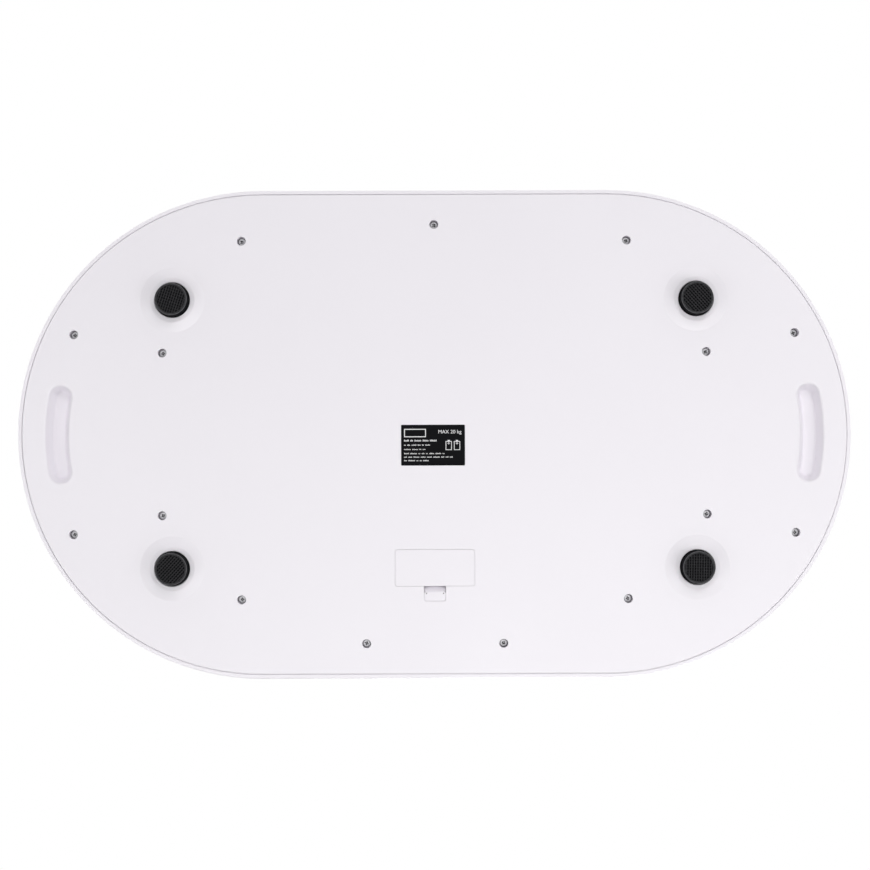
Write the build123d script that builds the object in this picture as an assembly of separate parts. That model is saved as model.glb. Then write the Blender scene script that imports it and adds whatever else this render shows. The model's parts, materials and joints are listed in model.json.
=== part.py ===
from build123d import *

import os
from math import atan2, degrees, hypot, pi, radians, sqrt, tan

# Digital baby weighing scale: a saddle-shaped tray on four load-cell feet, with
# the display and four keys in its front rim and the battery door underneath.
# Millimetres. +Z is up, the foot ends stand on Z = 0, X runs along the tray and
# the front (display and battery door) is at -Y.

os.makedirs("parts", exist_ok=True)

# --- driving dimensions: housing ---------------------------------------------
TRAY_LENGTH = 545.0        # at the widest line of the side wall
TRAY_WIDTH = 320.4
WIDEST_Z = 33.0            # height of that line
SIDE_BULGE_R = 145.0       # arc of the side wall, seen in section
BASE_Z = 10.0              # underside of the bottom cover
RIM_Z = 42.0               # rim height in the middle of the long sides
RIM_RISE = 10.0            # how much higher the two ends are
RIM_FILLET = 7.0
TOP_WALL = 2.2
BASE_WALL = 2.4
SEAM_GAP = 0.4             # between the bottom cover and the side wall around it
SKIRT_LIFT = 0.5           # the side wall ends this much above the base face
BASIN_DEPTH = 12.0         # tray floor below the rim
BASIN_FLANK_RUN = 24.0     # plan width of the sloping flank
BASIN_MARGIN = 37.0        # mean rim width
BASIN_SHIFT = 6.0          # the front rim is wider by twice this than the rear
BASIN_END_SHORTEN = 6.0    # the end rims are narrower by this
BASIN_FLOOR_FILLET = 14.0
BASIN_LIP_FILLET = 5.0
STIFFENER_DEPTH = 2.6      # ribs under the tray floor
STIFFENER_WALL = 1.8
STIFFENER_PITCH = 60.0

# --- bottom cover ------------------------------------------------------------
BASE_EDGE_FILLET = 0.5
SEAM_STEP_LIFT = 1.1       # a step of the edge closes the seam this far above the base face
SEAM_STEP_GAP = 0.12
LIP_INSET = 3.0            # upstand that stiffens the edge
LIP_WALL = 2.0
LIP_HEIGHT = 3.6
RIB_WALL = 1.6
RIB_HEIGHT = 3.0
RIB_PITCH = 60.0
GRIP_ARC_INSET = 27.0      # grip centre line, inside the widest line
GRIP_WIDTH = 14.8
GRIP_LENGTH = 63.8
GRIP_DEPTH = 10.0
GRIP_DRAFT = 18.0          # slope of the grip walls
GRIP_WALL = 2.0
GRIP_LIP_FILLET = 1.8
GRIP_FLOOR_FILLET = 2.0
RIB_ROWS = (-40.0, 0.0, 40.0, 114.0)
RIB_CLEAR_FOOT_X = 30.0    # the ribs stay away from brackets, bay and cables
RIB_CLEAR_FOOT_Y = 1.5
RIB_CLEAR_BAY_X = 14.0
RIB_CLEAR_BAY_Y = 4.0
RIB_CLEAR_CABLE = 3.0

# --- housing screws ----------------------------------------------------------
RIM_SCREW_INSET = 23.9     # from the widest line
FRONT_SCREW_X = 44.5
END_SCREW_Y = 65.0
END_SCREW_INSET = 21.7
REAR_CORNER_INSET = 34.5
FRONT_CORNER_INSET = 52.6
CORNER_SCREW_X = 13.2      # outside the centre of the end arc
FIELD_SCREW_X = 6.7        # outside the foot centre
FIELD_SCREW_Y = 34.4       # inside the foot centre
WELL_MOUTH_R = 2.9
WELL_DEPTH = 8.0
WELL_WALL = 1.9
WELL_FLOOR = 2.4
SCREW_HEAD_R = 2.6
SCREW_HEAD_H = 1.9
SCREW_R = 1.45
SCREW_LENGTH = 9.5
SCREW_CLEARANCE = 0.25
SCREW_PILOT_CLEARANCE = 0.05
BOSS_R = 4.3
SCREW_EDGE = 0.6           # chamfer of the pan head

# --- feet and load cells -----------------------------------------------------
FOOT_END_INSET = 102.1     # foot centre, inside the widest line of the ends
FOOT_SIDE_INSET = 72.9     # and of the long sides
PAD_R_END = 10.4
PAD_R_BASE = 11.2
PAD_GAP = 0.5
PAD_FLOOR = 4.0
PAD_TOP_GAP = 0.8          # below the bracket floor
PAD_TREAD_R = 9.0
PAD_TREAD_DEPTH = 0.9
PAD_EDGE = 0.3
SURROUND_R = 21.0
SURROUND_FLAT_R = 14.5
SURROUND_DROP = 1.4
POST_R = 8.4
POST_FIT = 0.05
POST_HOLE_CLEARANCE = 0.4
POST_FLANGE_R = 10.5
POST_FLANGE_H = 1.5
POST_FLANGE_GAP = 0.15
POST_HUB_R = 5.0
BRACKET_X = 40.0
BRACKET_Y = 36.0
BRACKET_CORNER = 4.0
BRACKET_FLOOR = 2.2
BRACKET_SEAT_Z = 19.0      # where the load cell lies
BRACKET_WALL_ABOVE = 2.6
BRACKET_EAR_X = 24.5
BRACKET_EAR_R = 3.5
BRACKET_EAR_H = 2.4
CELL_X = 34.0
CELL_Y = 30.0
CELL_T = 2.0
CELL_CORNER = 2.0
CELL_FRAME = 5.0           # width of the steel frame around the tongue
CELL_TONGUE = 12.0
CELL_SLOT_END = 4.0
CELL_FIT = 0.15
CELL_SCREW_R = 1.3
CELL_SCREW_HEAD_R = 2.4
CELL_SCREW_HEAD_H = 1.5
CELL_SCREW_TIP_GAP = 0.2
SEAT_MARGIN = 1.0          # pocket under the load cell, inside its steel frame
SEAT_POCKET_END = 2.5

# --- battery bay -------------------------------------------------------------
DOOR_X = 51.6
DOOR_Y = 23.6
DOOR_EDGE_INSET = 84.75    # hinge-side edge, inside the widest line of the front
DOOR_CORNER = 1.5
DOOR_T = 1.8
DOOR_GAP = 0.15
CELL_AAA_R = 5.25
CELL_AAA_LENGTH = 44.5
CELL_AAA_NUB_R = 1.9
CELL_AAA_NUB_H = 0.8
CELL_AAA_GAP = 0.3
CELL_AAA_EDGE = 0.6
CONTACT_T = 0.4
CONTACT_WIDTH = 8.0
CONTACT_HEIGHT = 9.0
SPRING_LENGTH = 4.5
SPRING_R_WIDE = 3.4
SPRING_R_NARROW = 2.4
SPRING_COILS = 4
SPRING_GROOVE = 0.35       # between two coils
TAB_WIDTH = 2.0
TAB_Z = 1.0                # middle of the solder tab, above the cell axis
TAB_SLOT_GAP = 0.1
BAY_WALL = 1.5
BAY_LEDGE = 0.5            # the hinge edge of the door lies on this much of the bay wall
BAY_RIDGE = 0.6
BAY_RIDGE_H = 4.0
BAY_RIDGE_END = 4.0        # the ridge stops this far from the end walls
LUG_X = 15.0
LUG_WIDTH = 6.0
LUG_REACH = 2.4
LUG_T = 1.2
LUG_GAP = 0.1
LUG_SLOT_GAP = 0.4
LUG_SWING = 1.4            # room above a lug when the door tilts

# --- door latch --------------------------------------------------------------
NOTCH_X = 14.2
NOTCH_REACH = 9.8          # notch in front of the door
NOTCH_CORNER = 1.5
LATCH_WIDTH = 11.4
LATCH_LEAF_T = 1.2
LATCH_BEND_Z = 14.6
LATCH_PLATE_REACH = 6.0    # finger plate, front to rear
LATCH_PLATE_T = 1.2
LATCH_PLATE_SUNK = 0.45    # below the base face
LATCH_PLATE_GAP = 0.15     # to the walls of the notch
LATCH_LEAF_INSET = 0.3     # the leaf stands behind the plate edge and swings clear of the notch
LATCH_PAD_X = 10.4         # raised pad in the middle of the plate
LATCH_PAD_Y = 3.9
LATCH_PAD_AT = 1.6         # from the front edge of the plate
LATCH_PAD_CORNER = 0.5
NOSE_REACH = 0.8
NOSE_T = 1.0
NOSE_SLACK = 0.4
NOSE_ROOM = 1.0            # the latch well reaches past the nose
LATCH_WELL_Z = 20.8
LATCH_AXIS_R = 0.6
LATCH_FIT = 0.05

# --- display and keys --------------------------------------------------------
WINDOW_X = 72.0
WINDOW_Y = 26.0
WINDOW_CORNER = 4.0
WINDOW_T = 1.6
WINDOW_GAP = 0.1
WINDOW_LEDGE = 3.0
CONSOLE_INSET = 24.2       # console centre line, inside the widest line
LCD_X = 58.0
LCD_Y = 20.0
LCD_T = 2.2
LCD_STEP = 2.5             # ledge of the lower glass that carries the tracks
BACKLIGHT_T = 2.6
LCD_FRAME_WALL = 1.5
LCD_FRAME_GAP = 0.1
LCD_FRAME_LEDGE = 3.0      # width of the foot under the light guide
LCD_FRAME_CORNER = 1.2
LCD_COVER_GAP = 0.15
PCB_T = 1.6
PCB_TOP_Z = 33.2
PCB_X = 192.0
PCB_Y = 25.0
PCB_CORNER = 2.0
PCB_BOSS_CLEARANCE = 0.7
PCB_POST_X = 71.0
PCB_POST_Y = 9.2
PCB_POST_R = 2.6
PCB_SCREW_R = 1.0
PCB_SCREW_HEAD_R = 1.9
PCB_SCREW_HEAD_H = 1.3
PCB_SCREW_LENGTH = 6.0
PCB_SCREW_END = 0.5
KEY_INNER_X = 60.0
KEY_PITCH = 22.0
KEY_R = 6.5
KEY_GAP = 0.2
KEY_PROUD = 0.8
KEY_TRAVEL = 0.5
KEY_FLANGE = 1.0
KEY_FLANGE_T = 1.0
KEY_FLANGE_GAP = 0.1
KEY_EDGE_FILLET = 0.6
KEY_STEM_R = 2.2
SWITCH_SIDE = 6.0
SWITCH_BODY_H = 3.5
PLUNGER_R = 1.7
PLUNGER_FIT = 0.05
PLUNGER_PROUD = 0.8
PLUNGER_SUNK = 1.4
PLUNGER_FLOOR_GAP = 0.1

# --- label, wiring -----------------------------------------------------------
LABEL_X = 41.5
LABEL_Y = 26.5
LABEL_AT = (1.0, -7.6)
LABEL_T = 0.15
LABEL_CORNER = 0.6
LAY_GAP = 0.4              # cables lie this much above the base plate
CABLE_R = 1.0
CABLE_EXIT_INSET = 9.0     # beside the screw ear of the bracket
CABLE_PLUG_X = {"front": 64.0, "rear": 54.0}
BATTERY_PLUG_X = -30.0
LEAD_R = 0.7
LEAD_PITCH = 2.4
PLUG_X = 8.0
PLUG_Y = 5.0
PLUG_H = 5.4
CHIP_AT = (8.0, -2.0)      # from the centre of the board
CHIP_SIDE = 10.0
CHIP_T = 1.6

# --- derived -----------------------------------------------------------------
HALF_LENGTH = TRAY_LENGTH / 2
HALF_WIDTH = TRAY_WIDTH / 2
END_X = HALF_LENGTH - HALF_WIDTH                      # centre of the end arcs
RIM_R = (HALF_LENGTH**2 + RIM_RISE**2) / (2 * RIM_RISE)
BULGE_CENTRE = HALF_WIDTH - SIDE_BULGE_R
BASE_TOP_Z = BASE_Z + BASE_WALL
SKIRT_Z = BASE_Z + SKIRT_LIFT
CONSOLE_Y = CONSOLE_INSET - HALF_WIDTH
DOOR_EDGE_Y = DOOR_EDGE_INSET - HALF_WIDTH
NOTCH_END_Y = DOOR_EDGE_Y - DOOR_Y - NOTCH_REACH
FOOT_X = HALF_LENGTH - FOOT_END_INSET
FOOT_Y = HALF_WIDTH - FOOT_SIDE_INSET
OVER = 1.0                                            # how far a cutter overshoots
SIDES = ((-1, "left"), (1, "right"))
ENDS = ((-1, "front"), (1, "rear"))


def bulge_radius(z, inset=0.0):
    """Plan radius of the side wall at height z, offset inwards by inset."""
    arc_r = SIDE_BULGE_R - inset
    return BULGE_CENTRE + sqrt(arc_r**2 - (z - WIDEST_Z) ** 2)


BASE_R = bulge_radius(SKIRT_Z, TOP_WALL) - SEAM_GAP   # edge of the bottom cover


def rim_height(x, depth=0.0):
    """Height of the saddle-shaped rim above x, or of a face depth below it."""
    return RIM_Z + RIM_R - sqrt((RIM_R + depth) ** 2 - x**2)


def block(x0, x1, y0, y1, z0, z1):
    """Box between six planes."""
    centre = ((x0 + x1) / 2, (y0 + y1) / 2, (z0 + z1) / 2)
    return Pos(*centre) * Box(abs(x1 - x0), abs(y1 - y0), abs(z1 - z0))


def rod(x, y, z0, z1, r, r_top=None):
    """Upright cylinder, or a cone when the top radius differs."""
    if r_top is None or r_top == r:
        return Pos(x, y, (z0 + z1) / 2) * Cylinder(r, z1 - z0)
    return Pos(x, y, (z0 + z1) / 2) * Cone(r, r_top, z1 - z0)


def rounded_block(x, y, size_x, size_y, corner, z0, z1):
    """Upright prism with rounded corners."""
    outline = RectangleRounded(size_x, size_y, corner)
    return Pos(x, y, z0) * extrude(outline, z1 - z0)


def stadium(profile, end_x):
    """Sweep a half section round a straight middle and two round ends."""
    straight = Pos(-end_x, 0, 0) * extrude(Plane.YZ * profile, 2 * end_x)
    half_turn = revolve(Plane.XZ * profile, Axis.Z, 180)
    body = straight + mirror(straight, Plane.XZ)
    for side in (-1, 1):
        body += Pos(side * end_x, 0, 0) * Rot(0, 0, -90 * side) * half_turn
    return body


def half_section(points):
    """Closed face from a polyline of (radius, height) points."""
    return make_face(Polyline(*points, close=True))


def rim_cylinder(depth):
    """Everything above the saddle surface that lies depth below the rim."""
    return Pos(0, 0, RIM_Z + RIM_R) * Rot(90, 0, 0) * Cylinder(RIM_R + depth, 2 * TRAY_WIDTH)


def outer_body(inset, z_low):
    """Solid inside the side wall and under the rim, offset inwards by inset."""
    z_high = RIM_Z + RIM_RISE + OVER
    low = bulge_radius(z_low, inset)
    high = bulge_radius(z_high, inset)
    section = make_face(
        Wire(
            [
                Line((0, z_low), (low, z_low)),
                ThreePointArc((low, z_low), (HALF_WIDTH - inset, WIDEST_Z), (high, z_high)),
                Line((high, z_high), (0, z_high)),
                Line((0, z_high), (0, z_low)),
            ]
        )
    )
    body = stadium(section, END_X) - rim_cylinder(inset)
    rim = [e for e in body.edges() if e.bounding_box().min.Z > WIDEST_Z]
    return fillet(rim, RIM_FILLET - inset)


def basin_body(outset):
    """The hollow of the tray as a solid, offset outwards by outset."""
    slope = BASIN_FLANK_RUN / BASIN_DEPTH
    end_x = END_X + BASIN_END_SHORTEN
    z_low = RIM_Z - 2 * BASIN_DEPTH
    z_high = RIM_Z + 2 * RIM_RISE
    rim_r = HALF_WIDTH - BASIN_MARGIN + outset * sqrt(1 + slope**2)
    low = rim_r - (RIM_Z - z_low) * slope
    high = rim_r + (z_high - RIM_Z) * slope
    section = half_section([(0, z_low), (low, z_low), (high, z_high), (0, z_high)])
    body = stadium(section, end_x)
    floor = Pos(0, 0, RIM_Z - BASIN_DEPTH + RIM_R) * Rot(90, 0, 0)
    body &= floor * Cylinder(RIM_R + outset, 2 * TRAY_WIDTH)
    bed = [e for e in body.edges() if e.bounding_box().max.Z < RIM_Z + RIM_RISE - BASIN_DEPTH / 2]
    return Pos(0, BASIN_SHIFT, 0) * fillet(bed, BASIN_FLOOR_FILLET + outset)


def screw_places():
    """The fifteen housing screws, from the middle of the rear edge round."""
    rim_y = HALF_WIDTH - RIM_SCREW_INSET
    end_x = END_X + sqrt((HALF_WIDTH - END_SCREW_INSET) ** 2 - END_SCREW_Y**2)
    places = [(0, rim_y)]
    for side in (-1, 1):
        places += [
            (side * FRONT_SCREW_X, -rim_y),
            (side * (END_X + CORNER_SCREW_X), HALF_WIDTH - REAR_CORNER_INSET),
            (side * (END_X + CORNER_SCREW_X), FRONT_CORNER_INSET - HALF_WIDTH),
        ]
        for end in (-1, 1):
            places += [
                (side * end_x, end * END_SCREW_Y),
                (side * (FOOT_X + FIELD_SCREW_X), end * (FOOT_Y - FIELD_SCREW_Y)),
            ]
    return places


SCREWS = screw_places()
HEAD_Z = BASE_Z + WELL_DEPTH                    # the screw heads pull against this
WELL_TOP_Z = HEAD_Z + WELL_FLOOR                # the bosses of the tray meet it
FEET = [
    (sx * FOOT_X, sy * FOOT_Y, f"{end}_{side}") for sy, end in ENDS for sx, side in SIDES
]
KEYS = {
    "unit": -(KEY_INNER_X + KEY_PITCH),
    "hold": -KEY_INNER_X,
    "tare": KEY_INNER_X,
    "power": KEY_INNER_X + KEY_PITCH,
}
PCB_POSTS = [
    (sx * PCB_POST_X, CONSOLE_Y + sy * PCB_POST_Y) for sx in (-1, 1) for sy in (-1, 1)
]
PCB_LOW_Z = PCB_TOP_Z - PCB_T
BAY_X = (CELL_AAA_LENGTH + SPRING_LENGTH) / 2 + CONTACT_T
BAY_REAR_Y = DOOR_EDGE_Y - BAY_LEDGE
BAY_DEPTH_Y = 4 * CELL_AAA_R + 3 * CELL_AAA_GAP
BAY_FRONT_Y = BAY_REAR_Y - BAY_DEPTH_Y
BAY_LOW_Z = BASE_Z + DOOR_T
CELL_Z = BAY_LOW_Z + CELL_AAA_GAP + CELL_AAA_R
BAY_TOP_Z = CELL_Z + CELL_AAA_R + CELL_AAA_GAP
CELL_ROWS = [
    BAY_REAR_Y - CELL_AAA_GAP - CELL_AAA_R,
    BAY_FRONT_Y + CELL_AAA_GAP + CELL_AAA_R,
]
DOOR_FRONT_Y = DOOR_EDGE_Y - DOOR_Y
LATCH_REAR_Y = DOOR_FRONT_Y + LATCH_LEAF_T                       # inner leaf, rear face
LATCH_PLATE_Y = NOTCH_END_Y + LATCH_PLATE_GAP                    # front edge of the finger plate
LATCH_FRONT_Y = LATCH_PLATE_Y + LATCH_LEAF_INSET                 # outer leaf, front face
LATCH_BEND_R = (LATCH_REAR_Y - LATCH_FRONT_Y) / 2
LATCH_BEND_Y = (LATCH_REAR_Y + LATCH_FRONT_Y) / 2


# --- cable routes: points on the way from each load cell or battery tab ------
FLOOR_LAY_Z = BASE_TOP_Z + CABLE_R + LAY_GAP
PLUG_FACE_Y = CONSOLE_Y + PLUG_Y / 2
PLUG_Z = PCB_LOW_Z - PLUG_H / 2
CELL_EDGE_X = FOOT_X - CELL_X / 2
CABLE_EXIT_Y = FOOT_Y - CABLE_EXIT_INSET
CABLE_EXIT_Z = BRACKET_SEAT_Z + CABLE_R
TAB_END_X = -BAY_X - BAY_WALL


def cable_route(side, end):
    """Route of one load-cell cable, mirrored to the left or right side."""
    plug_x = CABLE_PLUG_X[end]
    if end == "front":
        points = [
            (CELL_EDGE_X, -CABLE_EXIT_Y, CABLE_EXIT_Z),
            (CELL_EDGE_X - 13, -CABLE_EXIT_Y, CABLE_EXIT_Z),
            (CELL_EDGE_X - 27, -CABLE_EXIT_Y - 4, FLOOR_LAY_Z),
            (CELL_EDGE_X - 49, -CABLE_EXIT_Y - 14, FLOOR_LAY_Z),
            (CELL_EDGE_X - 69, -CABLE_EXIT_Y - 26, FLOOR_LAY_Z + 1),
            (plug_x + 6, PLUG_FACE_Y + 20, PLUG_Z - 7),
            (plug_x, PLUG_FACE_Y + 12, PLUG_Z),
            (plug_x, PLUG_FACE_Y, PLUG_Z),
        ]
    else:
        points = [
            (CELL_EDGE_X, CABLE_EXIT_Y, CABLE_EXIT_Z),
            (CELL_EDGE_X - 13, CABLE_EXIT_Y, CABLE_EXIT_Z),
            (CELL_EDGE_X - 29, CABLE_EXIT_Y - 6, FLOOR_LAY_Z),
            (CELL_EDGE_X - 49, CABLE_EXIT_Y - 26, FLOOR_LAY_Z),
            (CELL_EDGE_X - 61, CABLE_EXIT_Y - 62, FLOOR_LAY_Z + 0.2),
            (CELL_EDGE_X - 65, CABLE_EXIT_Y - 106, FLOOR_LAY_Z),
            (CELL_EDGE_X - 71, CABLE_EXIT_Y - 146, FLOOR_LAY_Z + 0.2),
            (plug_x + 18, PLUG_FACE_Y + 38, FLOOR_LAY_Z + 3),
            (plug_x + 6, PLUG_FACE_Y + 21, PLUG_Z - 6),
            (plug_x, PLUG_FACE_Y + 12, PLUG_Z),
            (plug_x, PLUG_FACE_Y, PLUG_Z),
        ]
    return [Vector(side * x, y, z) for x, y, z in points]


def lead_route(row):
    """Route of a battery lead, from a contact tab past the bay to the board."""
    start_z = CELL_Z + TAB_Z
    rear, front = CELL_ROWS
    if row == front:
        last_x = BATTERY_PLUG_X + LEAD_PITCH / 2
        points = [
            (TAB_END_X, row, start_z),
            (TAB_END_X - 8.5, row, start_z),
            (TAB_END_X - 13.5, row - 6.5, start_z + 0.4),
            (TAB_END_X - 13, row - 16, start_z + 2.6),
            (last_x - 5, PLUG_FACE_Y + 16, PLUG_Z - 4),
        ]
    else:
        last_x = BATTERY_PLUG_X - LEAD_PITCH / 2
        points = [
            (TAB_END_X, row, start_z),
            (TAB_END_X - 9.5, row, start_z),
            (TAB_END_X - 17, row - 6.5, start_z + 0.2),
            (TAB_END_X - 19, row - 18, start_z + 0.8),
            (TAB_END_X - 17.5, row - 29.5, start_z + 3.3),
            (last_x - 7, PLUG_FACE_Y + 14, PLUG_Z - 3),
        ]
    points += [(last_x, PLUG_FACE_Y + 9, PLUG_Z), (last_x, PLUG_FACE_Y, PLUG_Z)]
    return [Vector(*p) for p in points]


def route_radii(points):
    """The largest arc for each bend that its two runs allow."""
    radii = []
    for before, corner, after in zip(points, points[1:], points[2:]):
        run_in = corner - before
        run_out = after - corner
        half_turn = radians(run_in.get_angle(run_out)) / 2
        radii.append(0.45 * min(run_in.length, run_out.length) / tan(half_turn))
    return radii


def wire_solid(name, points, r):
    """Round wire along straight runs and tangent arcs."""
    radii = route_radii(points)
    path = FilletPolyline(*points, radius=radii)
    start = Plane(origin=points[0], z_dir=points[1] - points[0])
    solid = sweep(start * Circle(r), path=path)
    print(name, "length", round(path.length, 1), "radii", [round(v, 1) for v in radii])
    print(name, "volume over section x length", round(solid.volume / (pi * r * r * path.length), 4))
    return solid


# --- the two covers ----------------------------------------------------------
def is_basin_lip(edge):
    """Whether an edge lies on the rim face and inside the outer fillet."""
    centre = edge.center()
    r = hypot(max(abs(centre.X) - END_X, 0), centre.Y)
    return edge.bounding_box().min.Z > RIM_Z - 1 and r < HALF_WIDTH - BASIN_MARGIN / 2


def top_cover():
    """Saddle-shaped tray: shell, screw bosses, board posts and console cut-outs."""
    skin = outer_body(0, SKIRT_Z) - basin_body(0)
    lip = [e for e in skin.edges() if is_basin_lip(e)]
    skin = fillet(lip, BASIN_LIP_FILLET)
    cavity = outer_body(TOP_WALL, BASE_Z - OVER) - basin_body(TOP_WALL)
    ceiling = RIM_Z + RIM_RISE
    inner = Part()
    for x, y in SCREWS:
        inner += rod(x, y, WELL_TOP_Z, ceiling, BOSS_R)
    for x, y in PCB_POSTS:
        inner += rod(x, y, PCB_TOP_Z, ceiling, PCB_POST_R)
    ribs = Part()
    steps = int(END_X * 2 / STIFFENER_PITCH)
    for i in range(-steps // 2, steps // 2 + 1):
        x = i * STIFFENER_PITCH
        ribs += block(x - STIFFENER_WALL / 2, x + STIFFENER_WALL / 2, -HALF_WIDTH, HALF_WIDTH, 0, ceiling)
    ribs &= basin_body(TOP_WALL + STIFFENER_DEPTH)
    cavity = cavity - inner - ribs
    tray = skin - cavity
    for x, y in SCREWS:
        depth = SCREW_LENGTH - WELL_FLOOR + OVER
        tray -= rod(x, y, WELL_TOP_Z - OVER, WELL_TOP_Z + depth, SCREW_R + SCREW_PILOT_CLEARANCE)
    for x, y in PCB_POSTS:
        depth = PCB_SCREW_LENGTH - PCB_T + PCB_SCREW_END
        tray -= rod(x, y, PCB_TOP_Z - OVER, PCB_TOP_Z + depth, PCB_SCREW_R + SCREW_PILOT_CLEARANCE)
    recess = rounded_block(
        0, CONSOLE_Y, WINDOW_X + 2 * WINDOW_GAP, WINDOW_Y + 2 * WINDOW_GAP, WINDOW_CORNER, PCB_TOP_Z, ceiling
    )
    tray -= recess & rim_cylinder(WINDOW_T)
    tray -= rounded_block(
        0, CONSOLE_Y, WINDOW_X - 2 * WINDOW_LEDGE, WINDOW_Y - 2 * WINDOW_LEDGE, WINDOW_CORNER / 2,
        PCB_TOP_Z, ceiling,
    )
    for x in KEYS.values():
        tray -= rod(x, CONSOLE_Y, PCB_TOP_Z, ceiling, KEY_R + KEY_GAP)
    return tray


def grip_outline(width):
    """Curved slot of a finger grip, concentric with the end of the tray."""
    r = HALF_WIDTH - GRIP_ARC_INSET
    half_angle = degrees((GRIP_LENGTH - GRIP_WIDTH) / 2 / r)
    return SlotArc(CenterArc((0, 0), r, -half_angle, 2 * half_angle), width)


def grip_prism(side, width, z0, z1):
    """Prism on the grip outline at one end of the tray, narrower towards its top."""
    prism = Pos(END_X, 0, z0) * extrude(grip_outline(width), z1 - z0, taper=GRIP_DRAFT)
    return prism if side > 0 else mirror(prism, Plane.YZ)


def grip_cavity(side):
    """Finger hollow with sloping walls and a rounded bottom."""
    width = GRIP_WIDTH + 2 * OVER * tan(radians(GRIP_DRAFT))
    prism = grip_prism(side, width, BASE_Z - OVER, BASE_Z + GRIP_DEPTH)
    bottom = [e for e in prism.edges() if e.bounding_box().min.Z > BASE_Z + GRIP_DEPTH - 0.1]
    return fillet(bottom, GRIP_FLOOR_FILLET)


def base_ribs():
    """Low lattice on the inside of the bottom cover, clear of what stands there."""
    z0, z1 = BASE_TOP_Z - OVER / 2, BASE_TOP_Z + RIB_HEIGHT
    edge_r = BASE_R - LIP_INSET - LIP_WALL / 2
    reach = END_X + edge_r
    lattice = Part()
    for i in range(-3, 4):
        x = i * RIB_PITCH
        lattice += block(x - RIB_WALL / 2, x + RIB_WALL / 2, -BASE_R, BASE_R, z0, z1)
    for y in RIB_ROWS:
        lattice += block(-reach, reach, y - RIB_WALL / 2, y + RIB_WALL / 2, z0, z1)
    lattice &= stadium(half_section([(0, 0), (edge_r, 0), (edge_r, WIDEST_Z), (0, WIDEST_Z)]), END_X)
    for x, y, _ in FEET:
        half_y = BRACKET_Y / 2 + RIB_CLEAR_FOOT_Y
        lattice -= block(x - RIB_CLEAR_FOOT_X, x + RIB_CLEAR_FOOT_X, y - half_y, y + half_y, 0, WIDEST_Z)
    bay_x = BAY_X + RIB_CLEAR_BAY_X
    lattice -= block(-bay_x, bay_x, CONSOLE_Y - PCB_Y / 2, DOOR_EDGE_Y + RIB_CLEAR_BAY_Y, 0, WIDEST_Z)
    for side in (-1, 1):
        for _, end in ENDS:
            points = cable_route(side, end)
            for a, b in zip(points, points[1:]):
                middle = (a + b) * 0.5
                turn = degrees(atan2(b.Y - a.Y, b.X - a.X))
                slot = Box((b - a).length + 2 * RIB_CLEAR_CABLE, 2 * RIB_CLEAR_CABLE, 2 * WIDEST_Z)
                lattice -= Pos(middle.X, middle.Y, 0) * Rot(0, 0, turn) * slot
    return lattice


def is_grip_mouth(edge):
    """Whether an edge runs round the mouth of a finger grip."""
    centre = edge.center()
    off_line = hypot(abs(centre.X) - END_X, centre.Y) - (HALF_WIDTH - GRIP_ARC_INSET)
    flat = edge.bounding_box().size.Z < 0.1 and abs(centre.Z - BASE_Z) < 0.05
    near = abs(off_line) < GRIP_WIDTH / 2 + 1 and abs(centre.Y) < GRIP_LENGTH / 2 + 1
    return flat and near and edge.length > GRIP_WIDTH / 2


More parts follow.
